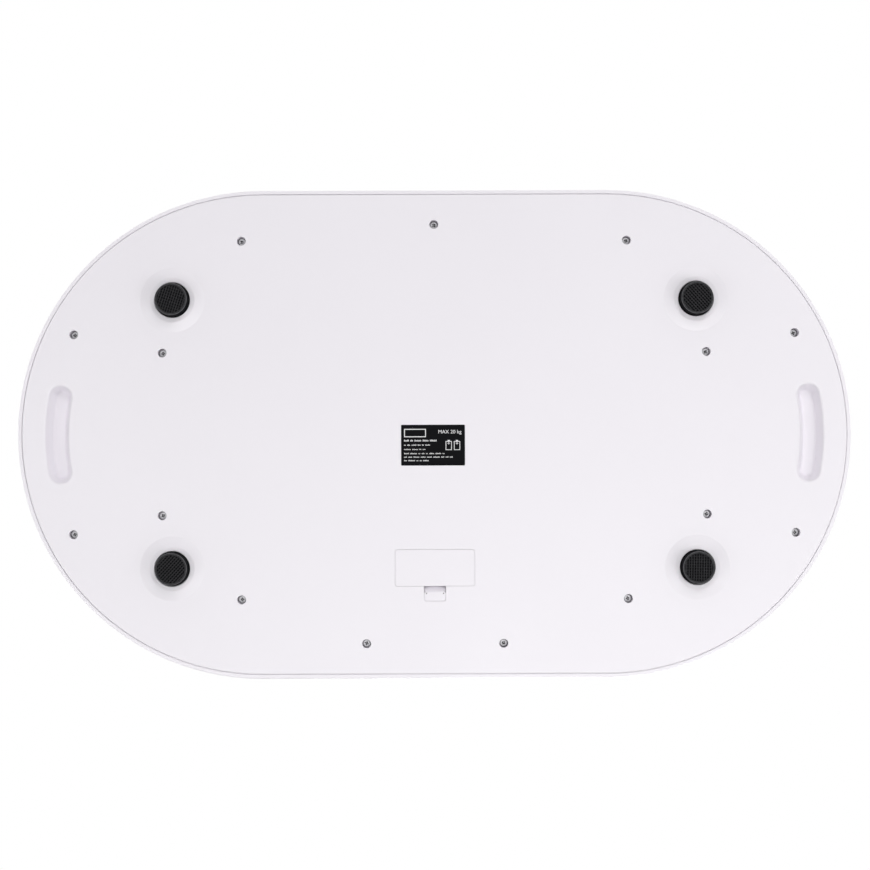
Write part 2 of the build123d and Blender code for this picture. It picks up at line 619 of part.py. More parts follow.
def bottom_cover():
    """Flat base: screw wells, foot openings, grips, battery bay and latch well."""
    section = half_section([(0, BASE_Z), (BASE_R, BASE_Z), (BASE_R, BASE_TOP_Z), (0, BASE_TOP_Z)])
    plate = stadium(section, END_X)
    edge = [e for e in plate.edges() if e.bounding_box().max.Z < BASE_Z + 0.1]
    cover = fillet(edge, BASE_EDGE_FILLET)
    step_z = BASE_Z + SEAM_STEP_LIFT
    step_r = bulge_radius(step_z, TOP_WALL) - SEAM_STEP_GAP
    core_r = BASE_R - SEAM_STEP_LIFT
    step = half_section([(core_r, step_z), (step_r, step_z), (step_r, BASE_TOP_Z), (core_r, BASE_TOP_Z)])
    cover += stadium(step, END_X)
    lip_out = BASE_R - LIP_INSET
    lip_in = lip_out - LIP_WALL
    lip_low, lip_top = BASE_TOP_Z - OVER / 2, BASE_TOP_Z + LIP_HEIGHT
    lip = half_section([(lip_in, lip_low), (lip_out, lip_low), (lip_out, lip_top), (lip_in, lip_top)])
    cover += stadium(lip, END_X)
    cover += base_ribs()

    # what stands up from the plate
    for x, y in SCREWS:
        cover += rod(x, y, BASE_TOP_Z - OVER, WELL_TOP_Z, WELL_MOUTH_R + WELL_WALL)
    for x, y, _ in FEET:
        cover += rod(x, y, BASE_Z - SURROUND_DROP, BASE_Z + OVER / 2, SURROUND_FLAT_R,
                     SURROUND_R + (SURROUND_R - SURROUND_FLAT_R) * OVER / 2 / SURROUND_DROP)
        for sx in (-1, 1):
            cover += rod(x + sx * BRACKET_EAR_X, y, BASE_TOP_Z - OVER / 2, BRACKET_SEAT_Z - BRACKET_EAR_H,
                         BRACKET_EAR_R)
    for side in (-1, 1):
        cover += grip_prism(side, GRIP_WIDTH + 2 * GRIP_WALL, BASE_TOP_Z - OVER / 2,
                            BASE_Z + GRIP_DEPTH + GRIP_WALL)
    cover += block(-BAY_X - BAY_WALL, BAY_X + BAY_WALL, BAY_FRONT_Y - BAY_WALL, BAY_REAR_Y + BAY_WALL,
                   BASE_TOP_Z - OVER / 2, BAY_TOP_Z + BAY_WALL)
    well_x = NOTCH_X / 2 + BAY_WALL
    well_y = NOTCH_END_Y - NOSE_REACH - NOSE_ROOM
    cover += block(-well_x, well_x, well_y - BAY_WALL, BAY_FRONT_Y,
                   BASE_TOP_Z - OVER / 2, LATCH_WELL_Z + BAY_WALL)

    # what is cut out of it
    for x, y in SCREWS:
        cover -= rod(x, y, BASE_Z - OVER, HEAD_Z, WELL_MOUTH_R)
        cover -= rod(x, y, HEAD_Z - OVER, WELL_TOP_Z + OVER, SCREW_R + SCREW_CLEARANCE)
    for x, y, _ in FEET:
        cover -= rod(x, y, 0, BASE_TOP_Z + OVER, PAD_R_BASE + PAD_GAP)
        for sx in (-1, 1):
            cover -= rod(x + sx * BRACKET_EAR_X, y, BASE_TOP_Z, BRACKET_SEAT_Z,
                         CELL_SCREW_R + SCREW_PILOT_CLEARANCE)
    for side in (-1, 1):
        cover -= grip_cavity(side)
    cover -= block(-BAY_X, BAY_X, BAY_FRONT_Y, BAY_REAR_Y, BASE_Z - OVER, BAY_TOP_Z)
    cover -= rounded_block(0, DOOR_EDGE_Y - DOOR_Y / 2, DOOR_X + 2 * DOOR_GAP, DOOR_Y + 2 * DOOR_GAP,
                           DOOR_CORNER, BASE_Z - OVER, BAY_LOW_Z + 0.1)
    slot_half = LUG_WIDTH / 2 + LUG_SLOT_GAP
    slot_top = BASE_TOP_Z + LUG_REACH + LUG_T + LUG_SWING
    for x in (-LUG_X, LUG_X):
        cover -= block(x - slot_half, x + slot_half, BAY_REAR_Y - OVER, BAY_REAR_Y + BAY_WALL + OVER,
                       BASE_TOP_Z, slot_top)
        cover -= block(x - slot_half, x + slot_half, BAY_REAR_Y - OVER, DOOR_EDGE_Y + DOOR_GAP,
                       BASE_Z - OVER, BASE_TOP_Z + OVER)
    notch_half = NOTCH_X / 2
    notch_y = BAY_FRONT_Y + NOTCH_CORNER + OVER - NOTCH_END_Y
    cover -= rounded_block(0, NOTCH_END_Y + notch_y / 2, NOTCH_X, notch_y, NOTCH_CORNER,
                           BASE_Z - OVER, BASE_TOP_Z)
    cover -= block(-notch_half, notch_half, well_y, BAY_FRONT_Y + OVER, BASE_TOP_Z, LATCH_WELL_Z)
    tab_y = TAB_WIDTH / 2 + TAB_SLOT_GAP
    tab_z = CONTACT_T / 2 + TAB_SLOT_GAP
    for row in CELL_ROWS:                        # tabs of the contacts pass the end wall
        cover -= block(-BAY_X - BAY_WALL - OVER, OVER / 2 - BAY_X, row - tab_y, row + tab_y,
                       CELL_Z + TAB_Z - tab_z, CELL_Z + TAB_Z + tab_z)
    ridge_x = BAY_X - BAY_RIDGE_END
    ridge_y = sum(CELL_ROWS) / 2
    cover += block(-ridge_x, ridge_x, ridge_y - BAY_RIDGE / 2, ridge_y + BAY_RIDGE / 2,
                   BAY_TOP_Z - BAY_RIDGE_H, BAY_TOP_Z + OVER / 2)
    mouth = [e for e in cover.edges() if is_grip_mouth(e)]
    return fillet(mouth, GRIP_LIP_FILLET)


# --- small parts of the housing ----------------------------------------------
def housing_screws():
    """Fifteen self-tapping screws, heads down."""
    low = HEAD_Z - SCREW_HEAD_H
    section = half_section(
        [
            (0, low), (SCREW_HEAD_R - SCREW_EDGE, low), (SCREW_HEAD_R, low + SCREW_EDGE),
            (SCREW_HEAD_R, HEAD_Z), (SCREW_R, HEAD_Z), (SCREW_R, HEAD_Z + SCREW_LENGTH),
            (0, HEAD_Z + SCREW_LENGTH),
        ]
    )
    screw = revolve(Plane.XZ * section, Axis.Z, 360)
    return [Pos(x, y, 0) * screw for x, y in SCREWS]


def rating_label():
    """Thin printed foil in the middle of the base."""
    x, y = LABEL_AT
    return rounded_block(x, y, LABEL_X, LABEL_Y, LABEL_CORNER, BASE_Z - LABEL_T, BASE_Z)


# --- feet and load cells -----------------------------------------------------
BRACKET_TOP_Z = BRACKET_SEAT_Z + BRACKET_WALL_ABOVE
BRACKET_FLOOR_Z = BASE_TOP_Z + BRACKET_FLOOR
PAD_TOP_Z = BASE_TOP_Z - PAD_TOP_GAP


def foot_pad(x, y):
    """Rubber cup on the foot post, with a rim round its sunk tread."""
    section = half_section(
        [
            (0, PAD_TREAD_DEPTH), (PAD_TREAD_R, PAD_TREAD_DEPTH), (PAD_TREAD_R, 0), (PAD_R_END - PAD_EDGE, 0),
            (PAD_R_END, PAD_EDGE), (PAD_R_BASE, BASE_Z), (PAD_R_BASE, PAD_TOP_Z),
            (POST_R + POST_FIT, PAD_TOP_Z), (POST_R + POST_FIT, PAD_FLOOR), (0, PAD_FLOOR),
        ]
    )
    return Pos(x, y, 0) * revolve(Plane.XZ * section, Axis.Z, 360)


def foot_post(x, y):
    """Plastic plunger that carries the load from the pad to the load cell."""
    flange_z = BRACKET_FLOOR_Z + POST_FLANGE_GAP
    section = half_section(
        [
            (0, PAD_FLOOR), (POST_R, PAD_FLOOR), (POST_R, flange_z), (POST_FLANGE_R, flange_z),
            (POST_FLANGE_R, flange_z + POST_FLANGE_H), (POST_HUB_R, flange_z + POST_FLANGE_H),
            (POST_HUB_R, BRACKET_SEAT_Z), (0, BRACKET_SEAT_Z),
        ]
    )
    return Pos(x, y, 0) * revolve(Plane.XZ * section, Axis.Z, 360)


def load_cell(x, y):
    """Stamped steel spring plate: a frame with a tongue bent by the foot post."""
    plate = rounded_block(x, y, CELL_X, CELL_Y, CELL_CORNER, BRACKET_SEAT_Z, BRACKET_SEAT_Z + CELL_T)
    window = block(x - CELL_X / 2 + CELL_FRAME, x + CELL_X / 2 - CELL_FRAME, y - CELL_Y / 2 + CELL_SLOT_END,
                   y + CELL_Y / 2 - CELL_SLOT_END, 0, WIDEST_Z)
    tongue = block(x - CELL_TONGUE / 2, x + CELL_TONGUE / 2, y - CELL_TONGUE / 2 - 1, y + CELL_Y / 2, 0,
                   WIDEST_Z)
    return plate - (window - tongue)


def load_cell_bracket(x, y):
    """Moulded holder that clamps the frame of the load cell over the foot."""
    seat = rounded_block(x, y, BRACKET_X, BRACKET_Y, BRACKET_CORNER, BASE_TOP_Z, BRACKET_TOP_Z)
    for sx in (-1, 1):
        ear_x = x + sx * BRACKET_EAR_X
        inner_x = x + sx * (BRACKET_X / 2 - OVER)
        low = BRACKET_SEAT_Z - BRACKET_EAR_H
        seat += rod(ear_x, y, low, BRACKET_SEAT_Z, BRACKET_EAR_R)
        seat += block(min(ear_x, inner_x), max(ear_x, inner_x), y - BRACKET_EAR_R, y + BRACKET_EAR_R, low,
                      BRACKET_SEAT_Z)
        seat -= rod(ear_x, y, low - OVER, BRACKET_SEAT_Z + OVER, CELL_SCREW_R + SCREW_CLEARANCE)
    seat -= rounded_block(x, y, CELL_X + 2 * CELL_FIT, CELL_Y + 2 * CELL_FIT, CELL_CORNER, BRACKET_SEAT_Z,
                          BRACKET_TOP_Z + OVER)
    pocket_x = CELL_X / 2 - CELL_FRAME + SEAT_MARGIN
    pocket_y = CELL_Y / 2 - SEAT_POCKET_END
    seat -= block(x - pocket_x, x + pocket_x, y - pocket_y, y + pocket_y, BRACKET_FLOOR_Z, BRACKET_TOP_Z)
    seat -= rod(x, y, BASE_TOP_Z - OVER, BRACKET_TOP_Z, POST_R + POST_HOLE_CLEARANCE)
    inward = -1 if x > 0 else 1
    notch_x = x + inward * (CELL_X / 2 - 0.5)
    notch_y = y - CABLE_EXIT_INSET if y > 0 else y + CABLE_EXIT_INSET
    notch = 2 * CABLE_R
    seat -= block(notch_x, notch_x + inward * BRACKET_X, notch_y - notch, notch_y + notch,
                  BRACKET_SEAT_Z - 1, BRACKET_TOP_Z + OVER)
    return seat


def load_cell_screws():
    """Eight small screws that hold the brackets down."""
    solids = []
    for x, y, _ in FEET:
        for sx in (-1, 1):
            at = x + sx * BRACKET_EAR_X
            head = rod(at, y, BRACKET_SEAT_Z, BRACKET_SEAT_Z + CELL_SCREW_HEAD_H, CELL_SCREW_HEAD_R)
            low = BASE_TOP_Z + CELL_SCREW_TIP_GAP
            solids.append(head + rod(at, y, low, BRACKET_SEAT_Z + OVER / 2, CELL_SCREW_R))
    return solids


# --- battery bay -------------------------------------------------------------
def battery(row, direction):
    """Micro cell lying along X, its nub towards the given side."""
    body_length = CELL_AAA_LENGTH - CELL_AAA_NUB_H
    section = half_section(
        [
            (0, 0), (CELL_AAA_R - CELL_AAA_EDGE, 0), (CELL_AAA_R, CELL_AAA_EDGE),
            (CELL_AAA_R, body_length - CELL_AAA_EDGE), (CELL_AAA_R - CELL_AAA_EDGE, body_length),
            (CELL_AAA_NUB_R, body_length), (CELL_AAA_NUB_R, CELL_AAA_LENGTH), (0, CELL_AAA_LENGTH),
        ]
    )
    cell = revolve(Plane.XZ * section, Axis.Z, 360)
    tip_x = direction * (BAY_X - CONTACT_T)
    return Pos(tip_x - direction * CELL_AAA_LENGTH, row, CELL_Z) * Rot(0, direction * 90, 0) * cell


def contact_plate(row, side, width):
    """Sheet-metal plate against an end wall of the bay, with a solder tab."""
    face = side * BAY_X
    z0, z1 = CELL_Z - CONTACT_HEIGHT / 2, CELL_Z + CONTACT_HEIGHT / 2
    inner = face - side * CONTACT_T
    return block(min(face, inner), max(face, inner), row - width / 2, row + width / 2, z0, z1)


def contact_tab(row, side):
    """Tab that passes through the end wall."""
    face = side * (BAY_X - CONTACT_T / 2)
    out = side * (BAY_X + BAY_WALL)
    low, high = CELL_Z + TAB_Z - CONTACT_T / 2, CELL_Z + TAB_Z + CONTACT_T / 2
    return block(min(face, out), max(face, out), row - TAB_WIDTH / 2, row + TAB_WIDTH / 2, low, high)


def contact_spring(row, side):
    """Conical compression spring drawn as its stack of coils."""
    pitch = SPRING_LENGTH / SPRING_COILS
    points = [(0, 0)]
    for i in range(SPRING_COILS):
        share = i / (SPRING_COILS - 1)
        r = SPRING_R_WIDE + (SPRING_R_NARROW - SPRING_R_WIDE) * share
        points += [(r - SPRING_GROOVE, i * pitch), (r, (i + 0.3) * pitch), (r, (i + 0.7) * pitch)]
    points += [(SPRING_R_NARROW - SPRING_GROOVE, SPRING_LENGTH), (0, SPRING_LENGTH)]
    stack = revolve(Plane.XZ * half_section(points), Axis.Z, 360)
    start = side * (BAY_X - CONTACT_T)
    return Pos(start, row, CELL_Z) * Rot(0, -side * 90, 0) * stack


def battery_contacts():
    """The link at one end of the bay and the two output contacts at the other."""
    rear, front = CELL_ROWS
    link = contact_plate((rear + front) / 2, 1, rear - front + CONTACT_WIDTH)
    link += contact_spring(front, 1)
    positive = contact_plate(front, -1, CONTACT_WIDTH) + contact_tab(front, -1)
    negative = contact_plate(rear, -1, CONTACT_WIDTH) + contact_tab(rear, -1) + contact_spring(rear, -1)
    return {
        "battery_contact_link": link,
        "battery_contact_positive": positive,
        "battery_contact_negative": negative,
    }


def battery_door():
    """Flush door with two lugs at its rear edge and a bent leaf at its front."""
    door = rounded_block(0, DOOR_EDGE_Y - DOOR_Y / 2, DOOR_X, DOOR_Y, DOOR_CORNER, BASE_Z, BASE_Z + DOOR_T)
    lug_z = BASE_TOP_Z + LUG_GAP
    for sx in (-1, 1):
        x0, x1 = sx * LUG_X - LUG_WIDTH / 2, sx * LUG_X + LUG_WIDTH / 2
        door += block(x0, x1, DOOR_EDGE_Y - LUG_T, DOOR_EDGE_Y - 0.05, BASE_Z + DOOR_T / 2, lug_z + LUG_T)
        door += block(x0, x1, DOOR_EDGE_Y - LUG_T, DOOR_EDGE_Y + LUG_REACH, lug_z, lug_z + LUG_T)
    half = LATCH_WIDTH / 2
    door += block(-half, half, LATCH_REAR_Y - LATCH_LEAF_T, LATCH_REAR_Y, BASE_Z + DOOR_T / 2, LATCH_BEND_Z)
    bend = Cylinder(LATCH_BEND_R, LATCH_WIDTH) - Cylinder(LATCH_BEND_R - LATCH_LEAF_T, LATCH_WIDTH + OVER)
    reach = 2 * LATCH_BEND_R
    above = block(-half, half, LATCH_BEND_Y - reach, LATCH_BEND_Y + reach, LATCH_BEND_Z, LATCH_WELL_Z)
    door += (Pos(0, LATCH_BEND_Y, LATCH_BEND_Z) * Rot(0, 90, 0) * bend) & above
    # the leaf ends in a shallow seat for the rounded head of the outer leaf
    seat_y = LATCH_FRONT_Y + LATCH_LEAF_T / 2
    seat = Cylinder(LATCH_AXIS_R + LATCH_FIT, LATCH_WIDTH + OVER)
    return door - Pos(0, seat_y, LATCH_BEND_Z) * Rot(0, 90, 0) * seat


def battery_door_latch():
    """Outer leaf of the latch with its finger pad and nose."""
    half = LATCH_WIDTH / 2
    front, rear = LATCH_FRONT_Y, LATCH_FRONT_Y + LATCH_LEAF_T
    latch = block(-half, half, front, rear, BASE_Z + LATCH_PLATE_SUNK, LATCH_BEND_Z)
    latch += Pos(0, (front + rear) / 2, LATCH_BEND_Z) * Rot(0, 90, 0) * Cylinder(LATCH_AXIS_R, LATCH_WIDTH)
    plate_x = NOTCH_X - 2 * LATCH_PLATE_GAP
    plate_z = BASE_Z + LATCH_PLATE_SUNK
    plate_y = LATCH_PLATE_Y + LATCH_PLATE_REACH / 2
    latch += rounded_block(0, plate_y, plate_x, LATCH_PLATE_REACH, NOTCH_CORNER - LATCH_PLATE_GAP, plate_z,
                           plate_z + LATCH_PLATE_T)
    pad_y = LATCH_PLATE_Y + LATCH_PAD_AT + LATCH_PAD_Y / 2
    latch += rounded_block(0, pad_y, LATCH_PAD_X, LATCH_PAD_Y, LATCH_PAD_CORNER, BASE_Z, plate_z + OVER / 4)
    nose_z = BASE_TOP_Z + NOSE_SLACK
    nose = Polyline(
        (front + LATCH_LEAF_T / 2, nose_z), (NOTCH_END_Y - NOSE_REACH, nose_z),
        (NOTCH_END_Y - NOSE_REACH, nose_z + NOSE_T / 2), (front, nose_z + 2 * NOSE_T),
        (front + LATCH_LEAF_T / 2, nose_z + 2 * NOSE_T), close=True,
    )
    latch += Pos(-half, 0, 0) * extrude(Plane.YZ * make_face(nose), LATCH_WIDTH)
    return latch


# --- display and keys --------------------------------------------------------
LCD_TOP_Z = RIM_Z - TOP_WALL - LCD_COVER_GAP
LCD_LOW_Z = LCD_TOP_Z - LCD_T
BACKLIGHT_LOW_Z = LCD_LOW_Z - BACKLIGHT_T


def display_window():
    """Tinted lens that follows the curve of the rim."""
    blank = rounded_block(0, CONSOLE_Y, WINDOW_X, WINDOW_Y, WINDOW_CORNER - WINDOW_GAP, PCB_TOP_Z,
                          RIM_Z + RIM_RISE)
    return (blank & rim_cylinder(WINDOW_T)) - rim_cylinder(0)


def lcd_glass():
    """Two glass plates, the lower one longer where the tracks come out."""
    lower = block(-LCD_X / 2, LCD_X / 2, CONSOLE_Y - LCD_Y / 2, CONSOLE_Y + LCD_Y / 2, LCD_LOW_Z,
                  LCD_LOW_Z + LCD_T / 2)
    upper = block(-LCD_X / 2, LCD_X / 2, CONSOLE_Y - LCD_Y / 2 + LCD_STEP, CONSOLE_Y + LCD_Y / 2,
                  LCD_LOW_Z + LCD_T / 2, LCD_TOP_Z)
    return lower + upper


def lcd_backlight():
    """Light guide under the glass."""
    return block(-LCD_X / 2, LCD_X / 2, CONSOLE_Y - LCD_Y / 2, CONSOLE_Y + LCD_Y / 2, BACKLIGHT_LOW_Z,
                 LCD_LOW_Z)


def lcd_frame():
    """Frame that stands on the board round the glass and its light guide."""
    half_x, half_y = LCD_X / 2 + LCD_FRAME_GAP, LCD_Y / 2 + LCD_FRAME_GAP
    inner_x, inner_y = LCD_X / 2 - LCD_FRAME_LEDGE, LCD_Y / 2 - LCD_FRAME_LEDGE
    frame = rounded_block(0, CONSOLE_Y, 2 * (half_x + LCD_FRAME_WALL), 2 * (half_y + LCD_FRAME_WALL),
                          LCD_FRAME_CORNER, PCB_TOP_Z, LCD_LOW_Z + LCD_T / 2)
    frame -= block(-half_x, half_x, CONSOLE_Y - half_y, CONSOLE_Y + half_y, BACKLIGHT_LOW_Z, RIM_Z)
    return frame - block(-inner_x, inner_x, CONSOLE_Y - inner_y, CONSOLE_Y + inner_y, PCB_TOP_Z - OVER, RIM_Z)


def main_pcb():
    """Circuit board along the front rim, with holes for the bosses that pass it."""
    board = rounded_block(0, CONSOLE_Y, PCB_X, PCB_Y, PCB_CORNER, PCB_LOW_Z, PCB_TOP_Z)
    for x, y in SCREWS:
        if abs(x) < PCB_X / 2 and abs(y - CONSOLE_Y) < PCB_Y / 2:
            board -= rod(x, y, PCB_LOW_Z - OVER, PCB_TOP_Z + OVER, BOSS_R + PCB_BOSS_CLEARANCE)
    for x, y in PCB_POSTS:
        board -= rod(x, y, PCB_LOW_Z - OVER, PCB_TOP_Z + OVER, PCB_SCREW_R + SCREW_CLEARANCE)
    return board


def pcb_screws():
    """Four screws that hold the board up against its posts, heads down."""
    solids = []
    for x, y in PCB_POSTS:
        head = rod(x, y, PCB_LOW_Z - PCB_SCREW_HEAD_H, PCB_LOW_Z, PCB_SCREW_HEAD_R)
        solids.append(head + rod(x, y, PCB_LOW_Z - OVER / 2, PCB_LOW_Z + PCB_SCREW_LENGTH, PCB_SCREW_R))
    return solids


def pcb_plugs():
    """Wire plugs under the board: four for the load cells, one for the battery."""
    solids = []
    places = [side * at for side in (-1, 1) for at in CABLE_PLUG_X.values()] + [BATTERY_PLUG_X]
    y0, y1 = CONSOLE_Y - PLUG_Y / 2, CONSOLE_Y + PLUG_Y / 2
    for x in places:
        solids.append(block(x - PLUG_X / 2, x + PLUG_X / 2, y0, y1, PCB_LOW_Z - PLUG_H, PCB_LOW_Z))
    return solids


def controller_chip():
    """Measuring and display controller under the board."""
    x, y = CHIP_AT[0], CONSOLE_Y + CHIP_AT[1]
    half = CHIP_SIDE / 2
    return block(x - half, x + half, y - half, y + half, PCB_LOW_Z - CHIP_T, PCB_LOW_Z)


PLUNGER_TOP_Z = PCB_TOP_Z + SWITCH_BODY_H + PLUNGER_PROUD


def key(x):
    """Key cap: domed head in the rim, flange under it and stem on the switch."""
    top = rim_height(x) + KEY_PROUD
    under = RIM_Z - TOP_WALL - KEY_FLANGE_GAP
    cap = rod(x, CONSOLE_Y, under - KEY_FLANGE_T, top, KEY_R)
    crown = [e for e in cap.edges() if e.bounding_box().min.Z > top - 0.1]
    cap = fillet(crown, KEY_EDGE_FILLET)
    cap += rod(x, CONSOLE_Y, under - KEY_FLANGE_T, under, KEY_R + KEY_FLANGE)
    return cap + rod(x, CONSOLE_Y, PLUNGER_TOP_Z, under, KEY_STEM_R)


def tact_switch(x):
    """Square switch body with a well for its plunger."""
    half = SWITCH_SIDE / 2
    body = block(x - half, x + half, CONSOLE_Y - half, CONSOLE_Y + half, PCB_TOP_Z, PCB_TOP_Z + SWITCH_BODY_H)
    well = PCB_TOP_Z + SWITCH_BODY_H - PLUNGER_SUNK - KEY_TRAVEL - PLUNGER_FLOOR_GAP
    return body - rod(x, CONSOLE_Y, well, PCB_TOP_Z + SWITCH_BODY_H + OVER, PLUNGER_R + PLUNGER_FIT)


def switch_plunger(x):
    """Round plunger of a switch, moved by its key."""
    return rod(x, CONSOLE_Y, PCB_TOP_Z + SWITCH_BODY_H - PLUNGER_SUNK, PLUNGER_TOP_Z, PLUNGER_R)


# --- all nodes ---------------------------------------------------------------
def build():
    """Every node of the scale by name."""
    nodes = {
        "top_cover": top_cover(),
        "bottom_cover": bottom_cover(),
        "housing_screws": housing_screws(),
        "rating_label": rating_label(),
        "display_window": display_window(),
        "lcd_glass": lcd_glass(),
        "lcd_backlight": lcd_backlight(),
        "lcd_frame": lcd_frame(),
        "main_pcb": main_pcb(),
        "pcb_screws": pcb_screws(),
        "pcb_plugs": pcb_plugs(),
        "controller_chip": controller_chip(),
        "battery_door": battery_door(),
        "battery_door_latch": battery_door_latch(),
        "battery_rear": battery(CELL_ROWS[0], 1),
        "battery_front": battery(CELL_ROWS[1], -1),
        "load_cell_screws": load_cell_screws(),
    }
    nodes.update(battery_contacts())
    for name, x in KEYS.items():
        nodes[f"key_{name}"] = key(x)
        nodes[f"tact_switch_{name}"] = tact_switch(x)
        nodes[f"switch_plunger_{name}"] = switch_plunger(x)
    for x, y, name in FEET:
        nodes[f"foot_pad_{name}"] = foot_pad(x, y)
        nodes[f"foot_post_{name}"] = foot_post(x, y)
        nodes[f"load_cell_{name}"] = load_cell(x, y)
        nodes[f"load_cell_bracket_{name}"] = load_cell_bracket(x, y)
    for sx, side in SIDES:
        for _, end in ENDS:
            name = f"load_cell_cable_{end}_{side}"
            nodes[name] = wire_solid(name, cable_route(sx, end), CABLE_R)
    for row, name in zip(CELL_ROWS, ("battery_lead_negative", "battery_lead_positive")):
        nodes[name] = wire_solid(name, lead_route(row), LEAD_R)
    return nodes


for node, shape in build().items():
    solids = shape if isinstance(shape, list) else shape.solids()
    whole = solids[0] if len(solids) == 1 else Compound(children=list(solids))
    whole.label = node
    export_step(whole, f"parts/{node}.step")
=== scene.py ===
# %% [markdown]
# # A digital baby weighing scale, seen from below
#
# The housing, feet, keys and battery door come from the CAD model as a fixed frame.
# This notebook gives every one of them its finish, and adds what is too fine for the
# CAD: the tread of the rubber feet, the screw heads, the printing on the keys, the
# label and the display. Blender works in metres here, so a small helper turns the
# millimetres that a maker thinks in into metres.

import json
import math
import random

import bpy
import bmesh
from mathutils import Matrix, Vector


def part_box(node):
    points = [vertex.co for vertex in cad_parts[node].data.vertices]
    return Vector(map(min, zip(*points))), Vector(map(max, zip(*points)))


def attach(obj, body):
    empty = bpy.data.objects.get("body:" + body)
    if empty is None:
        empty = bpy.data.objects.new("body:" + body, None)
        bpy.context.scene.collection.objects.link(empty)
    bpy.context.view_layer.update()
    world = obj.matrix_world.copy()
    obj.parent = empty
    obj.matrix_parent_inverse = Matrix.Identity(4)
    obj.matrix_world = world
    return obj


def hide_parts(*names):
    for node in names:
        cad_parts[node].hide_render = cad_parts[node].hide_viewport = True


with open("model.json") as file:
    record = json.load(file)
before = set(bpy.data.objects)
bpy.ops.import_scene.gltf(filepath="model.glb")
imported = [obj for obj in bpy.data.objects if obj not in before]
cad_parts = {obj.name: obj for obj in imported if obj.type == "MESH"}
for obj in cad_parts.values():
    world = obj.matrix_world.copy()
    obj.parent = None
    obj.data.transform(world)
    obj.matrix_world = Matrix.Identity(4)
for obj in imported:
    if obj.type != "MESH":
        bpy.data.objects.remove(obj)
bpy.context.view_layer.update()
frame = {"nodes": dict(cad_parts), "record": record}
RECORD_SLOTS = {part["node"]: part["material_slot"] for part in frame["record"]["subparts"]}


def mm(value):
    """Millimetres to metres."""
    return value / 1000.0


# %% [markdown]
# ## Camera
#
# The scale is shown the way it is in a catalogue: turned over, so that the camera looks
# straight at the base. The model keeps standing on its feet, so the camera goes below it
# and looks up. Where a camera stands decides how much of the side wall shows round the
# base, so its distance matters as much as its direction. It is given here by the point
# it looks at, its distance and three small angles.

# %% Camera below the scale
IMAGE_SIDE = 870                    # pixels, both ways
FOCAL_PIXELS = 2254.9
SENSOR_WIDTH = 36.0                 # millimetres, as camera makers give it
NEAREST, FARTHEST = 0.05, 20.0      # what the camera shows, in metres from it
CAMERA_DISTANCE = mm(1465.8)
CAMERA_TARGET = Vector((mm(-0.30), mm(-1.01), mm(10.0)))
CAMERA_PITCH = -0.0261              # radians
CAMERA_YAW = -0.0014
CAMERA_ROLL = 0.0033


def aim_camera():
    """A camera below the scale, with the rear edge of the scale at the top."""
    data = bpy.data.cameras.new("catalogue_camera")
    data.sensor_width = SENSOR_WIDTH
    data.lens = SENSOR_WIDTH * FOCAL_PIXELS / IMAGE_SIDE
    data.clip_start, data.clip_end = NEAREST, FARTHEST
    turn = Matrix.Rotation(CAMERA_YAW, 3, "Y") @ Matrix.Rotation(CAMERA_PITCH, 3, "X")
    right, up, forward = (turn @ Vector(v) for v in ((-1, 0, 0), (0, 1, 0), (0, 0, 1)))
    roll = Matrix.Rotation(CAMERA_ROLL, 3, forward)
    right, up = roll @ right, roll @ up
    place = Matrix((right, up, -forward)).transposed().to_4x4()
    place.translation = CAMERA_TARGET - forward * CAMERA_DISTANCE
    camera = bpy.data.objects.new("catalogue_camera", data)
    camera.matrix_world = place
    bpy.context.collection.objects.link(camera)
    bpy.context.scene.camera = camera
    return camera


camera = aim_camera()
bpy.context.scene.view_settings.view_transform = "Standard"
print("camera at", [round(c, 3) for c in camera.matrix_world.translation])
print("lens", round(camera.data.lens, 1))

# %% [markdown]
# ## Studio
#
# A white product is best lit by a white room: light from all round gives soft shading,
# and large lamps above and below give it a direction. The strongest one below stands
# beyond the rear edge, and two small ones stand low at the sides. A card that only the
# gloss of the plastic shows lifts the front half, as white cards do in a studio. The
# floor has to carry the shadow when the scale is seen from above, and must not hide it
# when it is seen from below. A floor that is only there for rays that come from above
# does both.

# %% Floor, world and lamps
ROOM_LIGHT = 0.50                   # how bright the white room is for the object
FLOOR_COLOR = (0.93, 0.93, 0.93, 1.0)
FLOOR_HALF = 6.0                    # half the side of the floor, in metres
FLOOR_FADE = (0.30, 0.85)           # the floor turns into plain white between these radii
FLOOR_GLOW = 0.25                   # and is partly white in the middle
CONTACT_REACH = 0.09                # how far from the scale its contact shadow goes
CONTACT_SAMPLES = 8
UNDER_KEY = dict(power=13.2, size=0.8, place=(-0.45, 1.50, -2.0))
UNDER_LEFT = dict(power=2.0, size=0.5, place=(0.75, -0.30, -0.80))
UNDER_RIGHT = dict(power=2.9, size=0.5, place=(-0.75, -0.30, -0.80))
UNDER_CARD = dict(power=16.0, size=0.8, place=(-0.10, -0.55, -1.9))
OVER_LAMP = dict(power=15.0, size=1.0, place=(-0.40, -0.50, 2.0))


def new_material(name):
    """An empty node material with its output node."""
    material = bpy.data.materials.new(name)
    material.use_nodes = True
    tree = material.node_tree
    tree.nodes.clear()
    output = tree.nodes.new("ShaderNodeOutputMaterial")
    return material, tree, output


def join(tree, source, target):
    """Link two sockets."""
    tree.links.new(source, target)


def add_node(tree, kind, feeds, output=0, **settings):
    """Add a node, feed its inputs with sockets or values and return one output."""
    made = tree.nodes.new(kind)
    for label, value in settings.items():
        setattr(made, label, value)
    for label, value in feeds.items():
        socket = made.inputs[label]
        if isinstance(value, bpy.types.NodeSocket):
            join(tree, value, socket)
        else:
            socket.default_value = value
    return made.outputs[output]


